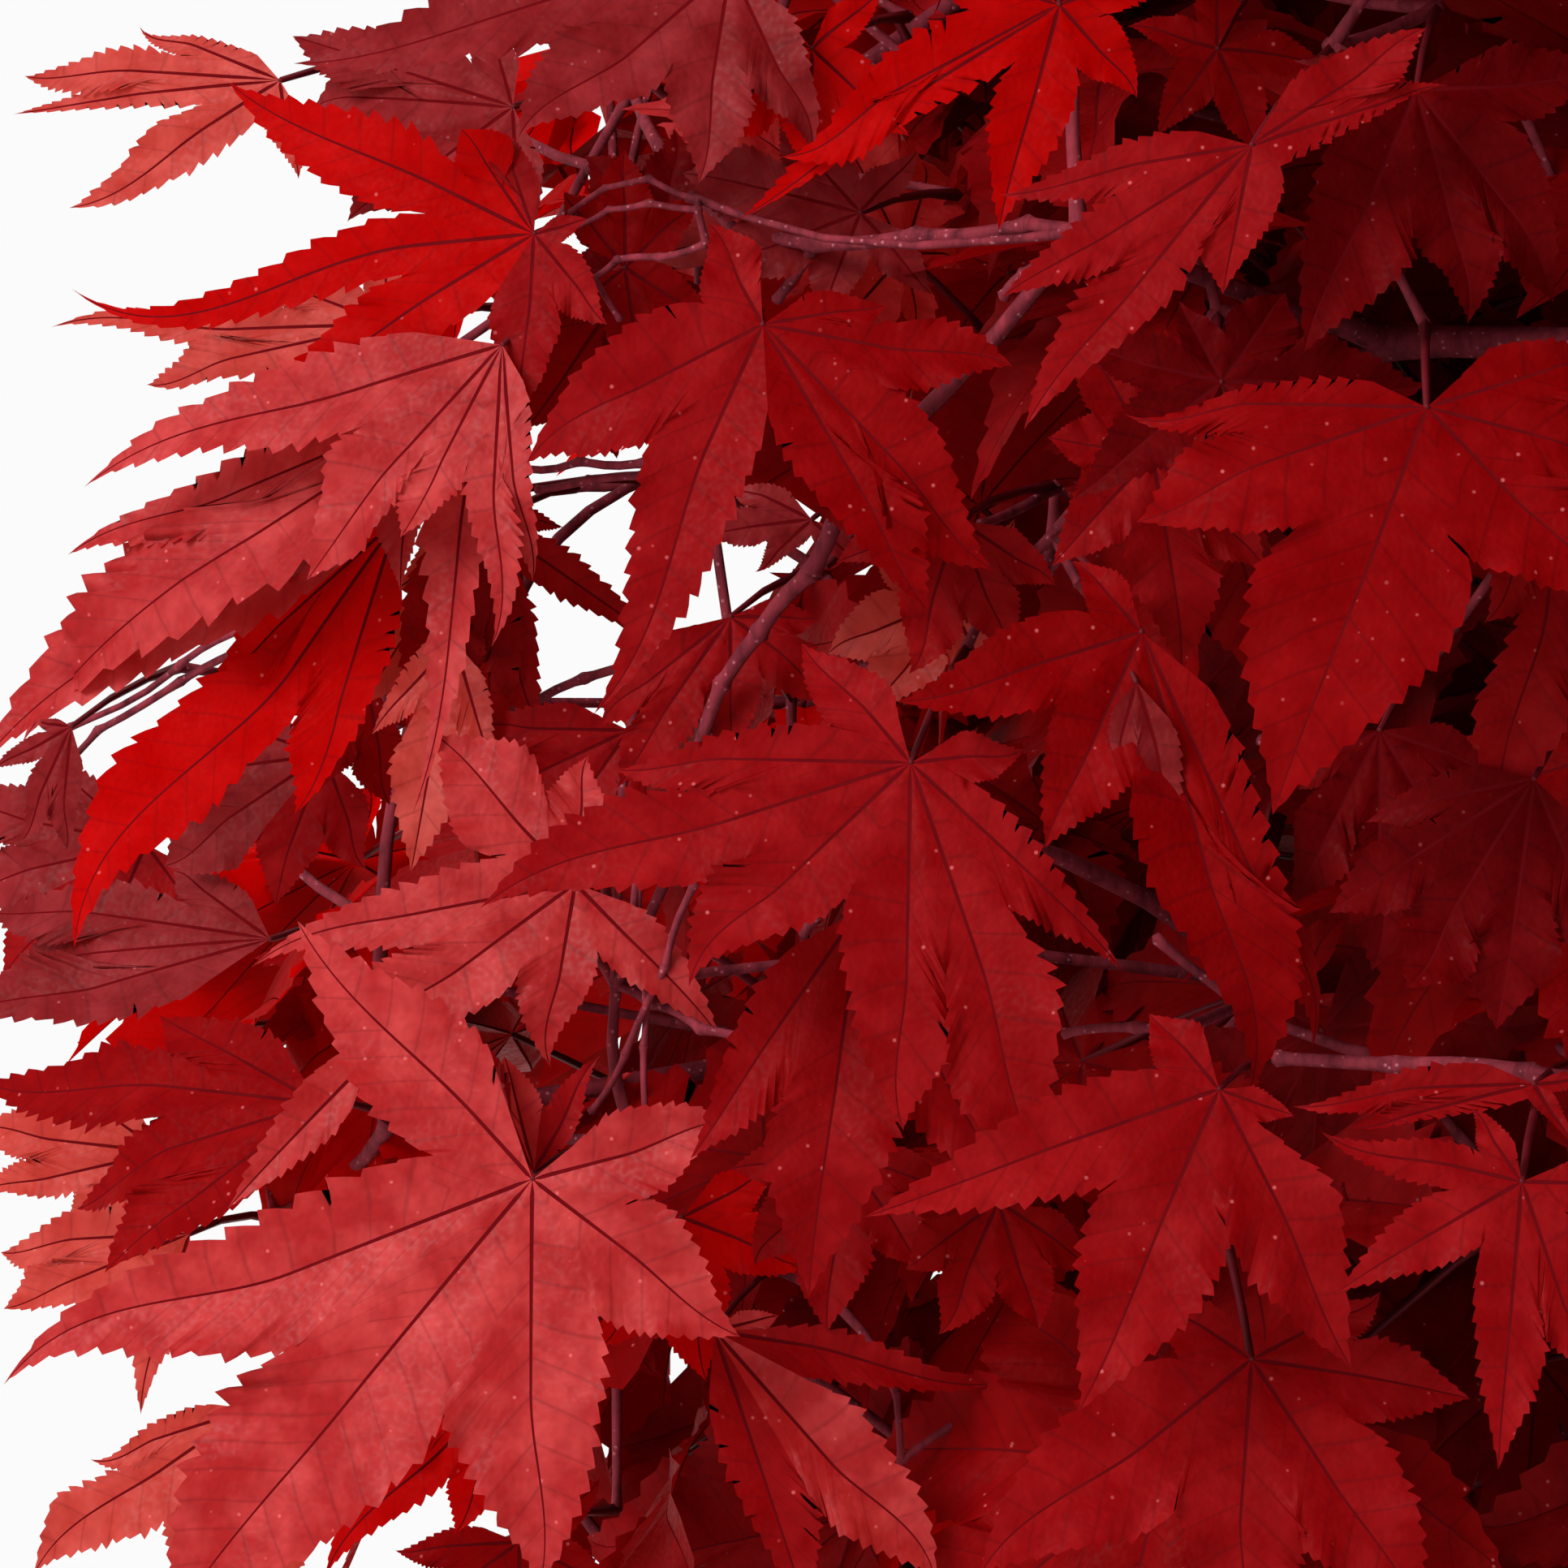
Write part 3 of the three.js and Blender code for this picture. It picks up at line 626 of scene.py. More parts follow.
@dataclass
class TreePlan:
    """The trunk's line and the masses, worked out by the source's rule from the source's sizes."""

    ground_z: float = 88
    trunk_top_z: float = 452
    trunk_tip_radius: float = 4.6
    stem_inset: float = 0.5
    bough_tip_share: float = 0.56
    bough_jog: float = 9
    bough_arch: float = 8
    top_centre_z: float = 512
    first_seed: int = 101
    seed_step: int = 17
    crown: Crown = field(default_factory=Crown)
    bends: tuple[tuple[float, float], ...] = ((5, 0), (-17, 4), (13, -5), (-9, 6), (5, -2), (-3, 0))
    tiers: tuple[Tier, ...] = (
        Tier("low", 4, 200, 258, 0.58, 150, 17, 222, 9.8, 4.6),
        Tier("mid", 4, 245, 362, 0.6, 238, 18, 326, 8, 4),
        Tier("high", 3, 190, 450, 0.46, 326, 17, 416, 5.8, 3.4),
    )

    def __post_init__(self) -> None:
        """Works out the trunk's line and the masses."""
        heights = np.linspace(self.ground_z, self.trunk_top_z, len(self.bends))
        self.trunk_line = SmoothLine(np.array([[x, y, z] for (x, y), z in zip(self.bends, heights)]))
        self.masses = self._planned()

    def trunk_at(self, heights: Array) -> Array:
        """The middle of the trunk at each height."""
        return self.trunk_line.at((heights - self.ground_z) / (self.trunk_top_z - self.ground_z))

    def _bough_line(self, foot: Array, tip: Array, seed: int) -> SmoothLine:
        """A bough's line: out of the trunk, over a low arch that jogs to one side, and up into its mass."""
        run = tip - foot
        side = unit(np.array([-run[1], run[0], 0.0]))
        jogs = (draws(seed + 7, 3) - 0.5) * 2 * self.bough_jog
        middle = [
            foot + share * run + side * jog + UP * self.bough_arch * math.sin(math.pi * share)
            for share, jog in zip((0.3, 0.55, 0.8), jogs)
        ]
        return SmoothLine(np.array([foot, *middle, tip]))

    def _planned(self) -> list[Mass]:
        """Each mass of leaves, tier by tier, and the one on the trunk's tip, with seeds in even steps."""
        masses: list[Mass] = []
        for tier in self.tiers:
            for i in range(tier.count):
                azimuth = math.radians(tier.first + i * 360 / tier.count)
                x = tier.reach * self.crown.half_length * math.cos(azimuth)
                y = tier.reach * self.crown.half_width * math.sin(azimuth)
                seed = self.first_seed + self.seed_step * len(masses)
                foot = self.trunk_at(np.array([tier.leave_z + i * tier.step_z]))[0]
                tip = np.array([self.bough_tip_share * x, self.bough_tip_share * y, tier.tip_z])
                centre = np.array([x, y, tier.centre_z])
                name, stem = f"{tier.name}_{i + 1}", tier.tip - self.stem_inset
                line = self._bough_line(foot, tip, seed)
                masses.append(Mass(name, seed, centre, tip, stem, line, tier.foot, tier.tip))
        top = np.array([0.0, 0.0, self.top_centre_z])
        tip = self.trunk_line.at(np.array([1.0]))[0]
        radius = self.trunk_tip_radius - self.stem_inset
        seed = self.first_seed + self.seed_step * len(masses)
        masses.append(Mass("top", seed, top, tip, radius))
        return masses

    def depth_in_space(self, points: Array, mass: Mass) -> Array:
        """How far each point lies inside a mass's own space, which ends halfway to the next centres."""
        own = ((points - mass.centre) ** 2).sum(-1)
        depths = [
            (((points - other.centre) ** 2).sum(-1) - own) / (2 * np.linalg.norm(other.centre - mass.centre))
            for other in self.masses
            if other is not mass
        ]
        return np.min(depths, axis=0)


# The view of the photograph


@dataclass(frozen=True)
class FrontView:
    """The camera's place before the crown's left flank, and the way from the picture's pixels to the tree."""

    centre_x: float = -184
    centre_z: float = 330
    reference_y: float = -100
    distance: float = 780
    frame_mm: float = 139
    pixels: float = 1932
    sensor_mm: float = 36
    flank: tuple[tuple[float, float], ...] = (
        (-100, -22), (0, -34), (500, -82), (1200, -124), (1932, -150), (2200, -158)
    )

    def width_at(self, depth: Array | float) -> Array | float:
        """The width of the frame at a depth along Y."""
        return self.frame_mm * (self.distance + depth - self.reference_y) / self.distance

    def place(self, spots: Array, depths: Array) -> Array:
        """The places in the tree that show at the picture's pixels, at the given depths along Y."""
        width = self.width_at(depths)
        x = self.centre_x + (spots[..., 0] / self.pixels - 0.5) * width
        z = self.centre_z - (spots[..., 1] / self.pixels - 0.5) * width
        return np.stack([x, np.broadcast_to(depths, x.shape), z], axis=-1)

    def seen_at(self, points: Array) -> Array:
        """The pixels where places in the tree show."""
        width = self.width_at(points[..., 1])
        u = ((points[..., 0] - self.centre_x) / width + 0.5) * self.pixels
        v = (0.5 - (points[..., 2] - self.centre_z) / width) * self.pixels
        return np.stack([u, v], axis=-1)

    def front_depth(self, u: Array) -> Array:
        """How near the foremost sprays stand: the crown's flank comes forward from its left outline on."""
        return np.interp(u, *np.transpose(self.flank))

    def within(self, spots: Array, share: float) -> Array:
        """Whether pixels lie within a share of the picture's width from its middle, across and down."""
        return (np.abs(spots - self.pixels / 2) < self.pixels * share).all(-1)

    def camera(self) -> bpy.types.Object:
        """Makes the camera, level and looking along +Y."""
        data = bpy.data.cameras.new("camera")
        data.sensor_width = self.sensor_mm
        data.lens = self.sensor_mm * self.distance / self.frame_mm
        data.clip_start, data.clip_end = 0.01, 50
        made = bpy.data.objects.new("camera", data)
        made.location = Vector((self.centre_x, self.reference_y - self.distance, self.centre_z)) * MM
        made.rotation_euler = (math.pi / 2, 0, 0)
        bpy.context.scene.collection.objects.link(made)
        bpy.context.scene.camera = made
        return made


@dataclass(frozen=True)
class OpenSky:
    """Where the picture shows the white ground beside and through the crown, in its pixels.

    The outlines are of the larger places, and the gaps are small round ones, each its middle and its radius.
    """

    view: FrontView
    outlines: tuple[tuple[Pixel, ...], ...] = (
        ((-400, -400), (640, -400), (620, 20), (420, 60), (420, 300), (380, 480), (230, 640), (200, 830),
         (60, 990), (-400, 990)),
        ((-400, 1600), (60, 1600), (330, 1640), (300, 1800), (180, 2000), (-400, 2300)),
        ((630, 545), (800, 545), (815, 600), (760, 640), (810, 760), (830, 800), (740, 870), (690, 860),
         (640, 790)),
        ((440, 2000), (575, 1800), (590, 1900), (590, 2000)),
        ((740, 1760), (840, 1745), (830, 1790), (740, 1800)),
    )
    gaps: tuple[tuple[float, float, float], ...] = (
        (975, 838, 20), (590, 900, 26), (880, 690, 40), (736, 1330, 20)
    )
    picture_share: float = 0.53
    front_room: float = 6

    def shows(self, points: Array) -> Array:
        """Whether each place would stand before the open sky, by counting crossings of each outline."""
        spots = self.view.seen_at(points)
        u, v = spots[..., 0], spots[..., 1]
        found = np.zeros(u.shape, bool)
        for outline in self.outlines:
            inside = np.zeros(u.shape, bool)
            for (u0, v0), (u1, v1) in zip(outline, outline[1:] + outline[:1]):
                crosses = (v0 > v) != (v1 > v)
                inside ^= crosses & (u < u0 + (v - v0) * (u1 - u0) / (v1 - v0 + 1e-9))
            found |= inside
        for gap_u, gap_v, radius in self.gaps:
            found |= np.hypot(u - gap_u, v - gap_v) < radius
        return found

    def before_front(self, points: Array) -> Array:
        """Whether each place would hide the foremost sprays: inside the picture and nearer than they are."""
        spots = self.view.seen_at(points)
        nearer = points[..., 1] < self.view.front_depth(spots[..., 0]) + self.front_room
        return nearer & self.view.within(spots, self.picture_share)


# Leaves


@dataclass(frozen=True)
class LeafCut:
    """How finely a leaf is cut: rows along each lobe, how many reach the notch, and columns to the edge.

    A tooth stands out by a share of the lobe's length and takes up a number of rows.
    """

    rows: int
    notch_row: int
    columns: int
    tooth: float
    tooth_rows: int

    def shares(self) -> tuple[Array, Array]:
        """For each row, its share of the way to the notch, and its share from there to the tip."""
        row = np.arange(self.rows + 1)
        beyond = (row - self.notch_row) / (self.rows - self.notch_row)
        return np.minimum(row / self.notch_row, 1), np.clip(beyond, 0, 1)


class Detail(Enum):
    """The cuts of leaf: those laid out one by one, those behind them in the picture, and all others."""

    FRONT = LeafCut(47, 8, 3, 0.017, 3)
    NEAR = LeafCut(18, 4, 2, 0.022, 2)
    FAR = LeafCut(3, 1, 1, 0.0, 1)


@dataclass
class LeafSet:
    """Leaves of one cut: where each is, how it is turned, and the angles, lengths and widths of its lobes."""

    heart: Array
    along: Array
    across: Array
    face: Array
    angles: Array
    lengths: Array
    widths: Array
    fold: Array
    droop: Array
    curl: Array
    bend: Array
    phase: Array

    def taken(self, which: Array) -> "LeafSet":
        """The leaves that a mask or a list of numbers picks out."""
        return LeafSet(**{name: value[which] for name, value in vars(self).items()})

    def places(self, along: Array, across: Array, height: Array) -> Array:
        """The places in the tree of points on each leaf's own plane, and above it."""
        each = (slice(None), *[None] * (along.ndim - 1))
        return (
            self.heart[each]
            + along[..., None] * self.along[each]
            + across[..., None] * self.across[each]
            + height[..., None] * self.face[each]
        )


@dataclass(frozen=True)
class LeafShape:
    """A palmate leaf worked out on a grid: each lobe is two halves, and each half runs from midrib to edge.

    Up to the notch between two lobes the edge follows the line that halves their angle. Beyond it the half
    width is the notch's, falling off to the tip, plus a hump. The rows slant forward from the midrib, as the
    side veins do. The notch lies where the edge is nearly as far from the midrib as the lobe is wide, so
    close lobes part late, and an edge keeps to its own side of the line between two lobes unless they lie
    over each other.
    """

    notch_width: float = 0.95
    notch_bounds: tuple[float, float] = (0.24, 0.6)
    base_notch: float = 0.2
    base_angle: float = math.radians(24)
    slant: float = 0.75
    least_half: float = math.radians(8)
    vein_mm: float = 0.2
    lift: float = 0.012
    ripple: float = 0.16

    def _notches(self, leaves: LeafSet) -> tuple[Array, Array, Array]:
        """For each half of a lobe: half the angle to the next one, and the notch's place along and across."""
        between = np.diff(leaves.angles, axis=1) / 2
        half = np.full((*leaves.angles.shape, 2), self.base_angle)
        half[:, 1:, 0] = half[:, :-1, 1] = between
        shorter = np.minimum(leaves.lengths[:, 1:], leaves.lengths[:, :-1])
        broad = leaves.widths * leaves.lengths
        parting = self.notch_width * (broad[:, 1:] + broad[:, :-1]) / 2 / np.sin(np.clip(between, 0.1, 1.3))
        low, high = self.notch_bounds
        reach = self.base_notch * np.repeat(leaves.lengths[:, :, None], 2, axis=2)
        reach[:, 1:, 0] = reach[:, :-1, 1] = np.clip(parting, low * shorter, high * shorter)
        return half, reach * np.cos(half), reach * np.sin(half)

    def _edges(self, leaves: LeafSet, cut: LeafCut) -> tuple[Array, Array, Array, Array]:
        """Draws both halves of each lobe on the flat, row by row.

        Args:
            leaves: the leaves.
            cut: how finely they are cut.

        Returns:
            The notch's place along each lobe, the rows' along its midrib, and the edge's along and across it.
        """
        half, notch_a, notch_b = self._notches(leaves)
        length = leaves.lengths[:, :, None]
        inner, outer = cut.shares()
        hump = outer**0.8 * (1 - outer) ** 1.25 / 0.256
        swell = np.maximum(leaves.widths[:, :, None] * length - 0.47 * notch_b, 0.01 * length)
        a_edge = notch_a[..., None] * inner + (length - notch_a)[..., None] * outer
        b_edge = notch_b[..., None] * inner * (1 - outer) ** 1.5 + swell[..., None] * hump
        bisector = np.where(half > self.least_half, 1.04 * np.tan(np.minimum(half, 1.4)), 9)[..., None]
        b_edge = np.minimum(b_edge, a_edge * bisector)
        a_mid = np.maximum((a_edge - self.slant * b_edge).mean(2, keepdims=True), 0)
        a_mid = np.maximum.accumulate(a_mid, axis=3)
        if cut.tooth:
            spacing = (length - notch_a)[..., None] / (cut.rows - cut.notch_row)
            a_edge, b_edge = self._toothed(leaves, cut, spacing, a_edge, b_edge)
        return notch_a, a_mid, a_edge, b_edge

    def _toothed(
        self, leaves: LeafSet, cut: LeafCut, spacing: Array, along: Array, across: Array
    ) -> tuple[Array, Array]:
        """Cuts uneven teeth into the edges beyond the notch, each hooked towards the tip of its lobe.

        Args:
            leaves: the leaves.
            cut: how finely they are cut.
            spacing: how far the rows of each half lobe are apart.
            along: the edge's places along its lobe.
            across: the edge's distance from the midrib.

        Returns:
            The edge's places along and across, with its teeth.
        """
        row = np.arange(cut.rows + 1)
        outer = cut.shares()[1]
        side = np.arange(2)[:, None]
        step = np.maximum(row - cut.notch_row + side, 0)
        turn = step % cut.tooth_rows
        out = np.where(turn == cut.tooth_rows - 1, 1.0, np.where(turn == 0, -0.5, 0.3))
        out = out * ((row > cut.notch_row) & (row < cut.rows))
        number = np.arange(leaves.angles.shape[1])[:, None, None] * 2 + side
        cells = np.broadcast_arrays(leaves.phase[:, None, None, None] * 977, number, step // cut.tooth_rows)
        tooth = np.stack(cells, axis=-1).astype(np.int64)
        uneven = 0.25 + 1.5 * hashed(tooth, 3)
        length = leaves.lengths[:, :, None, None]
        size = cut.tooth * length * (1 - 0.7 * outer) * np.minimum(1, 4 * outer) * uneven
        size = np.minimum(size, 0.2 * across)
        ahead = np.maximum(out, 0) * 0.7 + (out != 0) * 0.5 * (hashed(tooth, 5) - 0.5)
        along = along + ahead * spacing * np.minimum(1, 6 * (1 - outer))
        return along, np.maximum(across + out * size, 0.15 * across)

    def build(self, leaves: LeafSet, cut: LeafCut) -> Faces:
        """Builds all leaves of a set at once: drawn on the flat, then folded, curled, rippled and bent.

        Args:
            leaves: the leaves.
            cut: how finely they are cut.

        Returns:
            Their faces, with slot 1 on the main veins where the cut has room for them, and each one's lobe.
        """
        count, lobes = leaves.angles.shape
        notch_a, a_mid, a_edge, b_edge = self._edges(leaves, cut)
        thin = self.vein_mm * (1 - 0.75 * a_mid / leaves.lengths[..., None, None])
        beside = np.minimum(thin / np.maximum(b_edge, 1e-6), 0.4)
        zero = np.zeros_like(beside)
        part = np.stack([zero, beside, zero + 0.5, zero + 1], axis=-1)[..., [0, *range(1, cut.columns), 3]]
        a_mid = a_mid[..., None]
        a = a_mid + (a_edge[..., None] - a_mid) * part
        b = b_edge[..., None] * part

        each = (slice(None), None, None, None, None)
        lobe = (slice(None), slice(None), None, None, None)
        sign = np.array([-1.0, 1.0])[:, None, None]
        room = leaves.lengths[lobe]
        start = notch_a.max(2)[lobe]
        beyond = np.clip((a - start) / np.maximum(room - start, 1e-6), 0, 1)
        ripple = np.sin(TAU * 2.2 * cut.shares()[1][:, None] + leaves.phase[each] + 1.7 * sign)
        height = leaves.fold[each] * b - leaves.droop[each] * (a**2 + b**2) / leaves.lengths.max(1)[each]
        height = height - leaves.curl[lobe] * room * beyond**2
        height = height + self.ripple * b * ripple * np.minimum(1, 3 * beyond) * part
        # Every other lobe lies a little higher, so that lobes can lie over each other.
        parity = (np.arange(lobes) % 2 * 2 - 1)[None, :, None, None, None]
        height = height + self.lift * parity * room * np.minimum(1, 4 * beyond)
        sideways = sign * b + leaves.bend[lobe] * room * 6.75 * beyond**2 * (1 - beyond)
        angle = leaves.angles[lobe]
        p = a * np.cos(angle) - sideways * np.sin(angle)
        q = a * np.sin(angle) + sideways * np.cos(angle)
        places = leaves.places(p, q, height)
        chosen, triangles, slots, owners = self._joints(lobes, cut)
        corners = places.reshape(count, -1, 3)[:, chosen]
        spots = np.stack([np.broadcast_to(a_mid, b.shape), sign * b], axis=-1) / 10
        spots = spots.reshape(count, -1, 2)[:, chosen]
        offset = (np.arange(count) * len(chosen))[:, None, None]
        return Faces(
            corners.reshape(-1, 3),
            (triangles[None] + offset).reshape(-1, 3),
            np.tile(slots, count),
            spots.reshape(-1, 2),
            np.tile(owners, count),
        )

    def _joints(self, lobes: int, cut: LeafCut) -> tuple[Array, Array, Array, Array]:
        """Numbers one leaf's corners so that halves share their midrib, and neighbours the line to the notch.

        Args:
            lobes: how many lobes.
            cut: how finely the leaf is cut.

        Returns:
            Which grid places are kept, the triangles between them, and their slots and lobes.
        """
        rows, columns = cut.rows + 1, cut.columns + 1
        shape = (lobes, 2, rows, columns)
        lobe, side, row, column = np.indices(shape)
        # Each place's code says what it is shared by: the heart, a midrib, a line to a notch, or nothing.
        edges, own = lobes * rows, (2 * lobes + 1) * rows
        code = np.arange(lobe.size).reshape(shape) + own
        shared = (column == cut.columns) & (row <= cut.notch_row)
        code = np.where(shared, (lobe + side) * rows + row + edges, code)
        code = np.where((column == 0) | (row == cut.rows), lobe * rows + row, code)
        code = np.where(row == 0, -1, code)
        _, chosen, number = np.unique(code.ravel(), return_index=True, return_inverse=True)
        number = number.reshape(shape)
        a, b = number[:, :, :-1, :-1], number[:, :, 1:, :-1]
        c, d = number[:, :, 1:, 1:], number[:, :, :-1, 1:]
        strip = np.broadcast_to((np.arange(cut.columns) == 0) & (cut.columns > 1), a.shape)
        plus = np.concatenate([np.stack([a, b, c], -1)[:, 1], np.stack([a, c, d], -1)[:, 1]])
        minus = np.concatenate([np.stack([a, c, b], -1)[:, 0], np.stack([a, d, c], -1)[:, 0]])
        triangles = np.concatenate([plus.reshape(-1, 3), minus.reshape(-1, 3)])
        slots = np.concatenate([strip[:, 1], strip[:, 1], strip[:, 0], strip[:, 0]]).ravel().astype(int)
        owners = np.tile(lobe[:, 0, :-1, :-1].ravel(), 4)
        i, j, k = triangles.T
        whole = (i != j) & (j != k) & (k != i)
        return chosen, triangles[whole], slots[whole], owners[whole]


@dataclass(frozen=True)
class PlacedLeaf:
    """A leaf of the foremost sprays: its heart, its stalk's end and its lobes' tips, in the picture's pixels.

    A lobe is its tip, with its half width as a share of its length where that isn't the usual one, and a 1
    after that where it takes the other tint. Near is how far the leaf stands before its neighbours, and lean
    how far its face turns to the right and up. Bows are the numbers of lobes that bend, and by what share of
    their length they do to the left, seen from the heart.
    """

    tint: Tint
    heart: Pixel
    stalk: Pixel
    near: float
    lean: tuple[float, float]
    lobes: tuple[tuple[float, ...], ...]
    other_tint: Tint | None = None
    bows: tuple[tuple[int, float], ...] = ()


@dataclass(frozen=True)
class PlacedTwig:
    """A young twig or bare stalk that shows: its places from the tree outwards, in the picture's pixels."""

    spots: tuple[Pixel, ...]
    near: float
    radii: tuple[float, float]
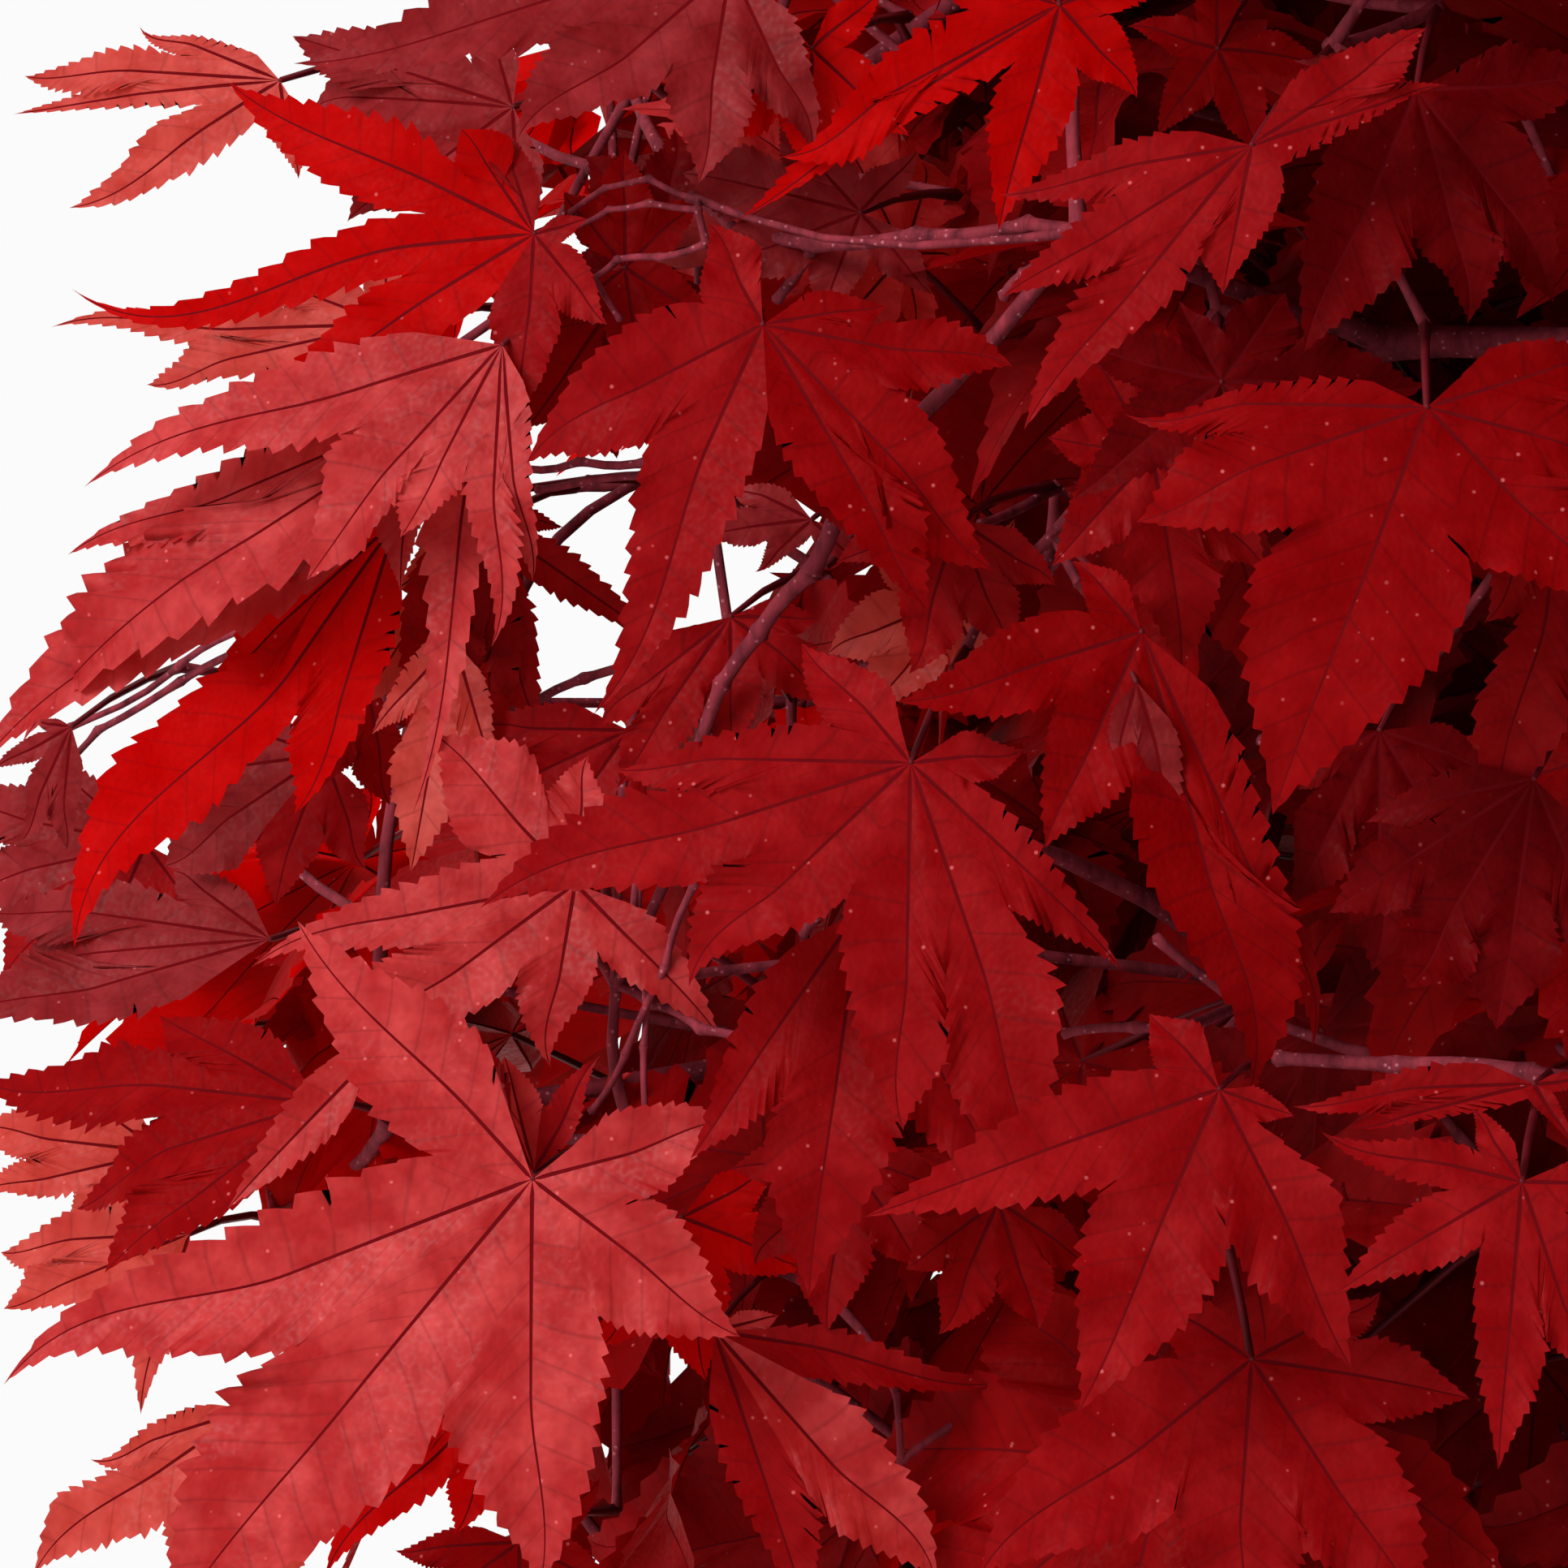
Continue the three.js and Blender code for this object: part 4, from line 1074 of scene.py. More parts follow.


# Each leaf's tint, and the other tint of some of its lobes, follow how bright the leaf shows where it hangs:
# partly its own red, partly painted light on the paler ones and painted shade on the darker ones.
FRONT_LEAVES = (
    PlacedLeaf(Tint.BRIGHT, (658, 288), (850, 236), 6, (-0.3, 0.1),
        ((262, 92, 0.105), (62, 345, 0.045), (296, 505, 0.1), (644, 524, 0.17, 1), (749, 400, 0.18, 1),
         (727, 271, 0.18, 1), (616, 161, 0.2, 1), (570, 160, 0.26)), Tint.CARMINE, bows=((1, 0.085),)),
    PlacedLeaf(Tint.MILKY, (619, 425), (740, 330), 10, (-0.3, 0.35),
        ((363, 699, 0.17), (86, 582, 0.085), (493, 662, 0.14), (595, 786, 0.075), (640, 700, 0.09))),
    PlacedLeaf(Tint.MILKY, (600, 480), (720, 430), 5, (-0.4, 0.3),
        ((-40, 870, 0.1), (84, 684, 0.075), (487, 990, 0.06))),
    PlacedLeaf(Tint.MILKY, (520, 570), (610, 510), 2, (-0.4, 0.3),
        ((-30, 950, 0.1), (300, 720, 0.14), (480, 720, 0.14))),
    PlacedLeaf(Tint.BRIGHT, (490, 640), (600, 560), 0, (-0.3, 0.3),
        ((105, 1178, 0.11), (370, 1010, 0.12), (240, 860, 0.14)), bows=((0, -0.075),)),
    PlacedLeaf(Tint.PALE, (560, 790), (640, 730), 2, (-0.1, 0.2),
        ((502, 1068, 0.16), (455, 900, 0.14), (606, 950, 0.13), (540, 700, 0.16))),
    PlacedLeaf(Tint.CARMINE, (573, 622), (800, 588), -6, (0.1, 0.2),
        ((696, 644, 0.12), (816, 795, 0.085), (672, 912, 0.11), (500, 900, 0.14), (560, 860, 0.15))),
    PlacedLeaf(Tint.CARMINE, (940, 400), (905, 285), 14, (0.0, 0.3),
        ((872, 277, 0.28), (647, 548, 0.21), (730, 856, 0.105), (1145, 742, 0.13, 1), (1225, 690, 0.14, 1),
         (1249, 456, 0.16, 1), (1092, 373, 0.18, 1)), Tint.DEEP, bows=((2, 0.04),)),
    PlacedLeaf(Tint.MILKY, (656, 1453), (780, 1400), 26, (-0.2, 0.15),
        ((367, 1135, 0.165), (0, 1705, 0.1), (170, 2030, 0.145), (650, 1960, 0.175), (906, 1644, 0.21),
         (915, 1385, 0.19)), bows=((1, -0.05), (0, 0.03))),
    PlacedLeaf(Tint.CARMINE, (658, 1444), (780, 1400), 20, (-0.2, 0.15),
        ((545, 1237, 0.14), (622, 1302, 0.2, 1), (740, 1300, 0.12)), Tint.MILKY),
    PlacedLeaf(Tint.MILKY, (709, 1089), (870, 950), 8, (-0.1, 0.3),
        ((293, 1163, 0.08), (535, 905, 0.25), (722, 925, 0.2), (884, 1268, 0.14), (672, 1302, 0.18),
         (419, 1299, 0.16))),
    PlacedLeaf(Tint.DEEP, (394, 1360), (480, 1380), 0, (-0.4, 0.5),
        ((-50, 1305, 0.1), (191, 1246, 0.16), (58, 1456, 0.1), (120, 1560, 0.15))),
    PlacedLeaf(Tint.PALE, (234, 1520), (340, 1500), -10, (-0.3, 0.3),
        ((0, 1610, 0.15), (-20, 1530, 0.13), (163, 1736, 0.13))),
    PlacedLeaf(Tint.BRIGHT, (1305, 6), (1330, -70), 14, (0.1, 0.2),
        ((966, 182, 0.11), (922, 241, 0.055), (1231, 283, 0.15), (1403, 117, 0.22), (1480, -60),
         (1100, -60))),
    PlacedLeaf(Tint.CARMINE, (1542, 179), (1640, 60), 18, (0.0, 0.3),
        ((1757, 38, 0.15), (1787, 99, 0.06), (1231, 228, 0.09), (1235, 368, 0.09), (1263, 516, 0.09),
         (1508, 356, 0.22))),
    PlacedLeaf(Tint.DEEP, (1758, 502), (1756, 400), 18, (0.1, 0.3),
        ((1392, 491, 0.07), (1411, 618, 0.19), (1588, 966, 0.23), (2010, 760, 0.22), (2030, 570),
         (1990, 430))),
    PlacedLeaf(Tint.WINE, (1745, 111), (1770, 10), 0, (0.2, 0.4),
        ((1610, 431, 0.18), (1932, 345, 0.2), (1820, 380, 0.16), (2000, 100), (1600, 60))),
    PlacedLeaf(Tint.WINE, (1505, 471), (1500, 390), -2, (0.2, 0.4),
        ((1588, 354, 0.24), (1761, 468, 0.2), (1453, 370), (1311, 425), (1330, 600), (1640, 640))),
    PlacedLeaf(Tint.DEEP, (1407, 779), (1300, 660), 6, (0.1, 0.3),
        ((1102, 872, 0.16), (1290, 1040, 0.17), (1634, 1265, 0.07), (1323, 684, 0.2), (1557, 1314, 0.13))),
    PlacedLeaf(Tint.CARMINE, (1122, 940), (1190, 800), 18, (0.0, 0.25),
        ((1114, 1382, 0.165), (1302, 1453, 0.145), (1385, 1182, 0.09), (1262, 924, 0.22), (988, 779, 0.19),
         (752, 930, 0.1), (590, 1105, 0.11), (848, 1198, 0.15))),
    PlacedLeaf(Tint.CARMINE, (1060, 1120), (1120, 1000), 8, (0.0, 0.3),
        ((997, 1576, 0.16), (1240, 1480, 0.14), (850, 1420, 0.12))),
    PlacedLeaf(Tint.CARMINE, (1502, 1342), (1576, 1303), 16, (0.1, 0.3),
        ((1419, 1243, 0.28), (1068, 1493, 0.12), (1333, 1733, 0.18), (1675, 1675, 0.18), (1594, 1376, 0.18))),
    PlacedLeaf(Tint.CARMINE, (1542, 1675), (1511, 1530), 10, (0.1, 0.3),
        ((1205, 1945, 0.19), (1520, 2010, 0.2), (1760, 2000, 0.19), (1819, 1715, 0.17), (1699, 1594, 0.17),
         (1400, 1580, 0.17))),
    PlacedLeaf(Tint.CARMINE, (1875, 1456), (1900, 1340), 20, (0.1, 0.3),
        ((1625, 1397, 0.1), (1653, 1582, 0.145), (1847, 1810, 0.12), (1960, 1700), (2050, 1460),
         (1813, 1366, 0.18))),
    PlacedLeaf(Tint.MILKY, (880, 1640), (960, 1560), 6, (0.1, 0.2),
        ((1157, 1950, 0.15), (1243, 1696, 0.07, 1), (960, 1620, 0.18), (1000, 1990, 0.11, 1)), Tint.CARMINE),
    PlacedLeaf(Tint.DUSKY, (333, 1157), (470, 1140), -4, (-0.4, 0.5),
        ((-40, 1098, 0.1), (-70, 1262, 0.12), (-30, 1180, 0.1), (200, 1060, 0.14))),
    PlacedLeaf(Tint.PALE, (345, 99), (520, 70), -10, (-0.3, 0.2),
        ((160, 23, 0.06), (3, 74, 0.07), (0, 129, 0.035), (89, 259, 0.12), (360, 215, 0.18))),
    PlacedLeaf(Tint.DUSKY, (632, 132), (780, 110), -8, (-0.2, 0.3),
        ((370, 111, 0.2), (431, 277, 0.2), (357, 40, 0.15), (640, 300, 0.2), (600, 20))),
    PlacedLeaf(Tint.PALE, (480, 400), (640, 380), -12, (-0.3, 0.3),
        ((68, 408, 0.05), (169, 463, 0.1), (320, 339, 0.16), (470, 300, 0.2))),
    PlacedLeaf(Tint.DUSKY, (900, -40), (1000, -80), 2, (0.0, 0.4),
        ((357, 40, 0.1), (640, 180, 0.16), (860, 210, 0.18), (1000, 170, 0.16))),
    PlacedLeaf(Tint.DEEP, (745, 390), (860, 380), -14, (0.0, 0.2),
        ((640, 290, 0.22), (615, 420, 0.2), (650, 530, 0.22), (760, 560, 0.2), (850, 480, 0.2),
         (790, 290, 0.2))),
    PlacedLeaf(Tint.DEEP, (770, 330), (880, 300), -6, (0.0, 0.2),
        ((695, 235, 0.2), (680, 400, 0.22), (790, 470, 0.22), (880, 400, 0.2), (860, 240, 0.2),
         (770, 180, 0.2))),
    PlacedLeaf(Tint.WINE, (820, 330), (930, 330), -18, (0.0, 0.2),
        ((690, 330, 0.22), (720, 190, 0.22), (830, 160, 0.2), (930, 250, 0.2), (900, 440, 0.2),
         (740, 440, 0.2))),
    PlacedLeaf(Tint.BRIGHT, (1000, 60), (1120, 20), -4, (0.1, 0.3),
        ((838, 176, 0.24), (905, 10, 0.14), (1000, 215, 0.2), (1120, 170, 0.2), (1090, -20))),
    PlacedLeaf(Tint.DUSKY, (1060, 262), (1180, 240), -12, (0.0, 0.2),
        ((840, 205, 0.22), (880, 330, 0.22), (1010, 390, 0.2), (1150, 360, 0.2), (1130, 180, 0.2),
         (960, 150, 0.2))),
    PlacedLeaf(Tint.CARMINE, (1420, 560), (1520, 520), -3, (0.1, 0.2),
        ((1290, 540, 0.24), (1330, 400, 0.22), (1440, 390, 0.2), (1465, 815, 0.2), (1300, 690, 0.2),
         (1560, 700, 0.2))),
    PlacedLeaf(Tint.PALE, (1170, 740), (1290, 700), -10, (0.0, 0.2),
        ((1020, 800, 0.24), (1080, 880, 0.22), (1240, 880, 0.2), (1060, 660, 0.2), (1250, 640, 0.2))),
    PlacedLeaf(Tint.CARMINE, (1180, 640), (1300, 600), -4, (0.0, 0.2),
        ((1030, 690, 0.16), (1000, 620, 0.18), (1120, 830, 0.2), (1240, 800, 0.2), (1300, 720, 0.2))),
    PlacedLeaf(Tint.CARMINE, (900, 760), (1010, 700), -8, (0.0, 0.2),
        ((740, 885, 0.2), (760, 960, 0.16), (900, 930, 0.2), (1040, 860, 0.2), (1010, 760, 0.2))),
    PlacedLeaf(Tint.DUSKY, (88, 895), (222, 822), 2, (-0.2, 0.1),
        ((72, 1045, 0.14), (22, 1035, 0.12), (-8, 950, 0.12), (40, 890, 0.14))),
    PlacedLeaf(Tint.DEEP, (1230, 1480), (1320, 1420), -6, (0.1, 0.2),
        ((1120, 1560, 0.24), (1160, 1640, 0.2), (1280, 1640, 0.2), (1350, 1560, 0.2), (1100, 1470, 0.2))),
    PlacedLeaf(Tint.CARMINE, (1890, 1336), (1960, 1310), 4, (0.1, 0.5),
        ((1600, 1342, 0.08), (1660, 1390, 0.07), (1940, 1420, 0.1), (1990, 1330, 0.1))),
    PlacedLeaf(Tint.CARMINE, (1930, 560), (2000, 480), -4, (0.2, 0.3),
        ((1835, 760, 0.2), (1880, 980, 0.18), (1800, 600, 0.2), (2010, 900, 0.2))),
    PlacedLeaf(Tint.WINE, (1890, 960), (1960, 860), 2, (0.1, 0.3),
        ((1640, 1120, 0.16), (1690, 1000, 0.14), (1730, 1220, 0.2), (1850, 1260, 0.2), (1990, 1200, 0.2))),
    PlacedLeaf(Tint.WINE, (1700, 900), (1760, 820), -8, (0.1, 0.3),
        ((1600, 1100, 0.2), (1700, 1180, 0.22), (1810, 1080, 0.2), (1580, 960, 0.2), (1850, 950, 0.2))),
    PlacedLeaf(Tint.CARMINE, (1040, 1420), (1120, 1360), -6, (0.0, 0.2),
        ((930, 1560, 0.2), (1020, 1640, 0.2), (1140, 1560, 0.2), (900, 1440, 0.2), (1180, 1470, 0.2))),
    PlacedLeaf(Tint.BRIGHT, (640, 1690), (760, 1640), -4, (0.0, 0.2),
        ((396, 1936, 0.09), (452, 1800, 0.15), (560, 1890, 0.16), (690, 1860, 0.18), (540, 1640, 0.2))),
    PlacedLeaf(Tint.DEEP, (640, 1900), (760, 1860), -10, (0.0, 0.2),
        ((486, 1908, 0.14), (500, 2000, 0.2), (640, 2060, 0.2), (760, 1960, 0.2), (740, 1820, 0.2))),
    PlacedLeaf(Tint.BRIGHT, (840, 1500), (940, 1450), -6, (0.0, 0.2),
        ((740, 1660, 0.2), (870, 1700, 0.2), (1000, 1560, 0.2), (700, 1560, 0.2), (960, 1440, 0.2))),
    PlacedLeaf(Tint.PALE, (600, 650), (710, 600), -8, (-0.1, 0.2),
        ((440, 860, 0.16), (510, 960, 0.16), (604, 975, 0.12, 1), (480, 720, 0.16)), Tint.DEEP),
    PlacedLeaf(Tint.DUSKY, (400, 930), (510, 880), -12, (-0.2, 0.2),
        ((160, 960, 0.16), (196, 1062, 0.24), (330, 1110, 0.18, 1), (450, 1070, 0.2, 1),
         (250, 880, 0.15)), Tint.CARMINE),
    PlacedLeaf(Tint.DUSKY, (180, 1040), (300, 1000), -14, (-0.2, 0.2),
        ((-70, 990, 0.15), (-60, 1090, 0.17), (-10, 1200, 0.16, 1), (110, 1200, 0.18, 1),
         (244, 1128, 0.26, 1), (50, 930, 0.13)), Tint.CARMINE),
    PlacedLeaf(Tint.PALE, (200, 1420), (320, 1400), -16, (-0.2, 0.2),
        ((-50, 1390, 0.13), (-30, 1470, 0.1), (100, 1350, 0.16), (80, 1510, 0.16))),
    PlacedLeaf(Tint.DUSKY, (1000, 640), (1080, 600), -10, (0.0, 0.2),
        ((866, 655, 0.18), (900, 590, 0.16), (930, 705, 0.13), (1060, 700, 0.2))),
    PlacedLeaf(Tint.DEEP, (450, 830), (550, 780), -14, (-0.1, 0.2),
        ((395, 970, 0.2), (480, 990, 0.2), (340, 880, 0.18), (530, 900, 0.2))),
    PlacedLeaf(Tint.CARMINE, (775, 900), (870, 880), -9, (0.0, 0.2),
        ((585, 895, 0.16), (600, 980, 0.18), (690, 1020, 0.2), (810, 1010, 0.2))),
    PlacedLeaf(Tint.MILKY, (462, 1296), (560, 1400), 22, (-0.2, 0.2),
        ((281, 1489, 0.13), (440, 1210, 0.1))),
    PlacedLeaf(Tint.DUSKY, (1400, 840), (1330, 720), 9, (0.1, 0.2),
        ((1467, 1052, 0.12), (1370, 950, 0.16))),
    PlacedLeaf(Tint.DEEP, (1500, 60), (1560, -30), -4, (0.1, 0.3),
        ((1390, 30, 0.2), (1430, 160, 0.2), (1560, 190, 0.2), (1640, 70, 0.2), (1500, -70))),
    PlacedLeaf(Tint.PALE, (308, 1736), (430, 1680), -8, (-0.2, 0.2),
        ((20, 1932, 0.15), (111, 1798, 0.1), (230, 2000, 0.2), (350, 1990, 0.18), (430, 1900, 0.2))),
)

FRONT_TWIGS = (
    PlacedTwig(((1330, 285), (1268, 277), (1130, 290), (1003, 302), (900, 281), (850, 242)), 4, (0.75, 0.5)),
    PlacedTwig(((1360, 280), (1305, 306), (1262, 338), (1236, 366)), 2, (0.6, 0.5)),
    PlacedTwig(((1040, 600), (1000, 705), (935, 780), (890, 842), (858, 935)), 6, (0.85, 0.6)),
    PlacedTwig(((1960, 1328), (1890, 1322), (1720, 1312), (1576, 1304)), 6, (0.8, 0.55)),
    PlacedTwig(((1450, 1272), (1400, 1266), (1311, 1274)), 4, (0.5, 0.4)),
    PlacedTwig(((760, 1215), (801, 1237), (863, 1268), (966, 1305), (1050, 1270),
        (1101, 1234)), 12, (0.45, 0.4)),
    PlacedTwig(((862, 246), (800, 220), (745, 232), (702, 262)), 9, (0.32, 0.24)),
    PlacedTwig(((860, 258), (800, 250), (750, 258), (712, 278)), 11, (0.32, 0.24)),
    PlacedTwig(((870, 300), (813, 317), (760, 320), (733, 342), (764, 394)), 10, (0.36, 0.26)),
    PlacedTwig(((870, 562), (795, 570), (715, 568), (636, 576)), 2, (0.46, 0.36)),
    PlacedTwig(((870, 580), (795, 586), (725, 592), (662, 604)), 0, (0.46, 0.36)),
    PlacedTwig(((900, 790), (800, 815), (720, 836), (640, 880), (480, 850), (300, 775), (222, 819),
        (86, 896)), -4, (0.5, 0.32)),
    PlacedTwig(((640, 886), (480, 862), (300, 800), (222, 840), (120, 900), (40, 960),
        (14, 1016)), -6, (0.45, 0.3)),
    PlacedTwig(((786, 1075), (788, 1180), (793, 1290), (795, 1373)), 14, (0.36, 0.3)),
    PlacedTwig(((856, 1090), (820, 1190), (770, 1300), (728, 1370)), 14, (0.36, 0.3)),
    PlacedTwig(((1140, 1960), (1120, 1870), (1110, 1800), (1104, 1716)), -4, (0.4, 0.3)),
)


@dataclass(frozen=True)
class FrontSprays:
    """The foremost sprays before the camera: their leaves as laid out in the picture, and their twigs."""

    view: FrontView
    usual_width: float = 0.18
    fold: float = 0.25
    droop: float = 0.06
    bend: float = 0.09
    curl: float = 0.3
    stalk_depth: float = 22
    twig_depth: float = 10

    def _depth(self, spot: Pixel, near: float) -> float:
        """The depth along Y of a spot that stands near millimetres before its neighbours."""
        return float(self.view.front_depth(np.array(spot[0]))) - near

    def leaf(self, plan: PlacedLeaf, seed: int) -> tuple[LeafSet, Array]:
        """Lays one leaf out: its tips are cast onto its plane, which gives each lobe's angle and length.

        Args:
            plan: the leaf.
            seed: which draw its small irregularities take.

        Returns:
            The leaf as a set of one, and which of its lobes take the other tint.
        """
        depth = self._depth(plan.heart, plan.near)
        heart = self.view.place(np.array(plan.heart), np.array(depth))
        face = unit(np.array([plan.lean[0], -1.0, plan.lean[1]]))
        spots = np.array([lobe[:2] for lobe in plan.lobes], float)
        count = len(spots)
        depths = np.full(count, depth)
        # Where a tip shows depends on its depth, so casting it is repeated until it hardly moves.
        for _ in range(3):
            tips = self.view.place(spots, depths)
            depths = depth - ((tips - heart)[:, [0, 2]] * face[[0, 2]]).sum(1) / face[1]
        along = unit(np.cross(UP, face))
        across = np.cross(face, along)
        away = self.view.place(spots, depths) - heart
        angles = np.arctan2(away @ across, away @ along)
        # The lobes are put in order round the heart, and the widest space between two is the leaf's base.
        order = np.argsort(angles)
        spaces = np.diff(np.append(angles[order], angles[order][0] + TAU))
        order = np.roll(order, -1 - int(np.argmax(spaces)))
        widths = np.array([lobe[2] if len(lobe) > 2 else self.usual_width for lobe in plan.lobes])
        draw = draws(seed, 3 * count + 2)
        bend = self.bend * (draw[count : 2 * count] - 0.5)
        for number, bow in plan.bows:
            bend[number] = bow
        leaf = LeafSet(
            heart=heart[None],
            along=along[None],
            across=across[None],
            face=face[None],
            angles=np.unwrap(angles[order])[None],
            lengths=np.linalg.norm(away, axis=1)[order][None],
            widths=widths[order][None],
            fold=self.fold * (0.5 + draw[-2:-1]),
            droop=np.array([self.droop]),
            curl=(self.curl * (draw[:count] - 0.35))[None],
            bend=bend[order][None],
            phase=draw[-1:] * TAU,
        )
        return leaf, np.array([len(lobe) > 3 for lobe in plan.lobes])[order]

    def stalk_root(self, plan: PlacedLeaf) -> Array:
        """Where a leaf's stalk meets its twig, some way behind the leaf."""
        depth = self._depth(plan.heart, plan.near) + self.stalk_depth
        return self.view.place(np.array(plan.stalk), np.array(depth))

    def chain(self, plan: PlacedTwig) -> Chain:
        """The places along a twig, from the tree outwards, and the radii of its ends."""
        spots = np.array(plan.spots)
        depths = self.view.front_depth(spots[:, 0]) - plan.near + self.twig_depth
        return list(self.view.place(spots, depths)), plan.radii


# Growing the twigs


class Twig(NamedTuple):
    """A grown twig: its ends and the radii there."""

    start: Array
    end: Array
    start_radius: float
    end_radius: float


@dataclass
class Growth:
    """The source's growing rule, carried on to finer twigs.

    The sites for the first twigs of a mass are the source's own. Finer sites follow from the same row of
    draws, and each joins the twig that costs least: the new length, plus a share of the way back to the stem.
    """

    plan: TreePlan
    sky: OpenSky
    first_sites: int = 10
    finer_sites: int = 92
    candidates: int = 8
    cloud_draws: int = 90000
    spread: float = 150
    path_cost: float = 0.35
    stem_share: float = 0.42
    first_bounds: tuple[float, float, float] = (0.4, 0.74, 20)
    finer_bounds: tuple[float, float, float] = (0.42, 0.9, 5)
    twig_radius: float = 0.42
    radius_power: float = 0.33
    fork_swell: float = 1.35

    def sites(self, mass: Mass) -> Array:
        """Seeded sites for the twigs of a mass, each as far as can be from those before it.

        Args:
            mass: the mass.

        Returns:
            The sites, with the source's own first.
        """
        cloud = mass.centre + (draws(mass.seed, self.cloud_draws).reshape(-1, 3) - 0.5) * 2 * self.spread
        share = self.plan.crown.share(cloud)
        depth = self.plan.depth_in_space(cloud, mass)
        clear = ~self.sky.shows(cloud) & ~self.sky.before_front(cloud)
        chosen: list[Array] = []
        first = 0
        for count, (inner, outer, margin), allowed in (
            (self.first_sites, self.first_bounds, np.ones_like(clear)),
            (self.finer_sites, self.finer_bounds, clear),
        ):
            numbers = np.flatnonzero((share >= inner) & (share <= outer) & (depth >= margin) & allowed)
            numbers = numbers[numbers >= first]
            for i in range(min(count, len(numbers) // self.candidates)):
                group = cloud[numbers[i * self.candidates : (i + 1) * self.candidates]]
                gaps = np.zeros(len(group))
                if chosen:
                    gaps = np.linalg.norm(group[:, None] - np.array(chosen)[None], axis=2).min(1)
                chosen.append(group[int(np.argmax(gaps))])
                first = int(numbers[(i + 1) * self.candidates - 1]) + 1
        return np.array(chosen)

    def grow(self, mass: Mass, given: list[Array], chains: list[Chain], twigs: list[Twig]) -> Array:
        """Joins the sites of a mass to its stem and adds the twigs.

        Args:
            mass: the mass.
            given: sites that the foremost leaves need.
            chains: the foremost twigs, whose first places join the tree.
            twigs: where the twigs are added.

        Returns:
            The sites that carry the rule's own leaves.
        """
        sites = self.sites(mass)
        stem_end = mass.tip + (mass.centre - mass.tip) * self.stem_share
        near = np.argsort(np.linalg.norm(sites[: self.first_sites] - stem_end, axis=1))
        later = np.argsort(np.linalg.norm(sites[self.first_sites :] - stem_end, axis=1)) + self.first_sites
        places, parents, paths = [mass.tip], [-1], [0.0]
        fixed: dict[int, float] = {}

        def add(place: Array, parent: int) -> int:
            """Adds a place that grows from an earlier one, and gives its number."""
            places.append(place)
            parents.append(parent)
            paths.append(paths[parent] + float(np.linalg.norm(place - places[parent])))
            return len(places) - 1

        def join(site: Array, guarded: bool) -> bool:
            """Joins one site where it costs least, unless its twig would cross the open sky."""
            known = np.array(places)
            cost = np.linalg.norm(known - site, axis=1) + self.path_cost * np.array(paths)
            cost[0] = np.inf
            best = int(np.argmin(cost))
            between = known[best] + np.linspace(0, 1, 12)[:, None] * (site - known[best])
            if guarded and self.sky.shows(between).any():
                return False
            add(site, best)
            return True

        add(stem_end, 0)
        bearing = [site for site in sites[near] if join(site, True)]
        first_chain = len(places)
        for chain, _ in chains:
            join(chain[0], False)
        for number, (chain, (thick, fine)) in enumerate(chains, first_chain):
            fixed[number] = thick
            for k, place in enumerate(chain[1:], 1):
                number = add(place, number)
                fixed[number] = thick + (fine - thick) * k / (len(chain) - 1)
        for site in given:
            join(site, False)
        bearing += [site for site in sites[later] if join(site, True)]

        # A twig's radius follows from how many twigs it carries, itself included.
        carried = np.ones(len(places))
        for i in range(len(places) - 1, 0, -1):
            carried[parents[i]] += carried[i]
        radii = np.minimum(self.twig_radius * carried**self.radius_power, mass.stem_radius)
        radii[0] = mass.stem_radius
        for number, radius in fixed.items():
            radii[number] = radius
        for i in range(1, len(places)):
            start = min(radii[parents[i]], radii[i] * self.fork_swell)
            twigs.append(Twig(places[parents[i]], places[i], start, radii[i]))
        return np.array(bearing)


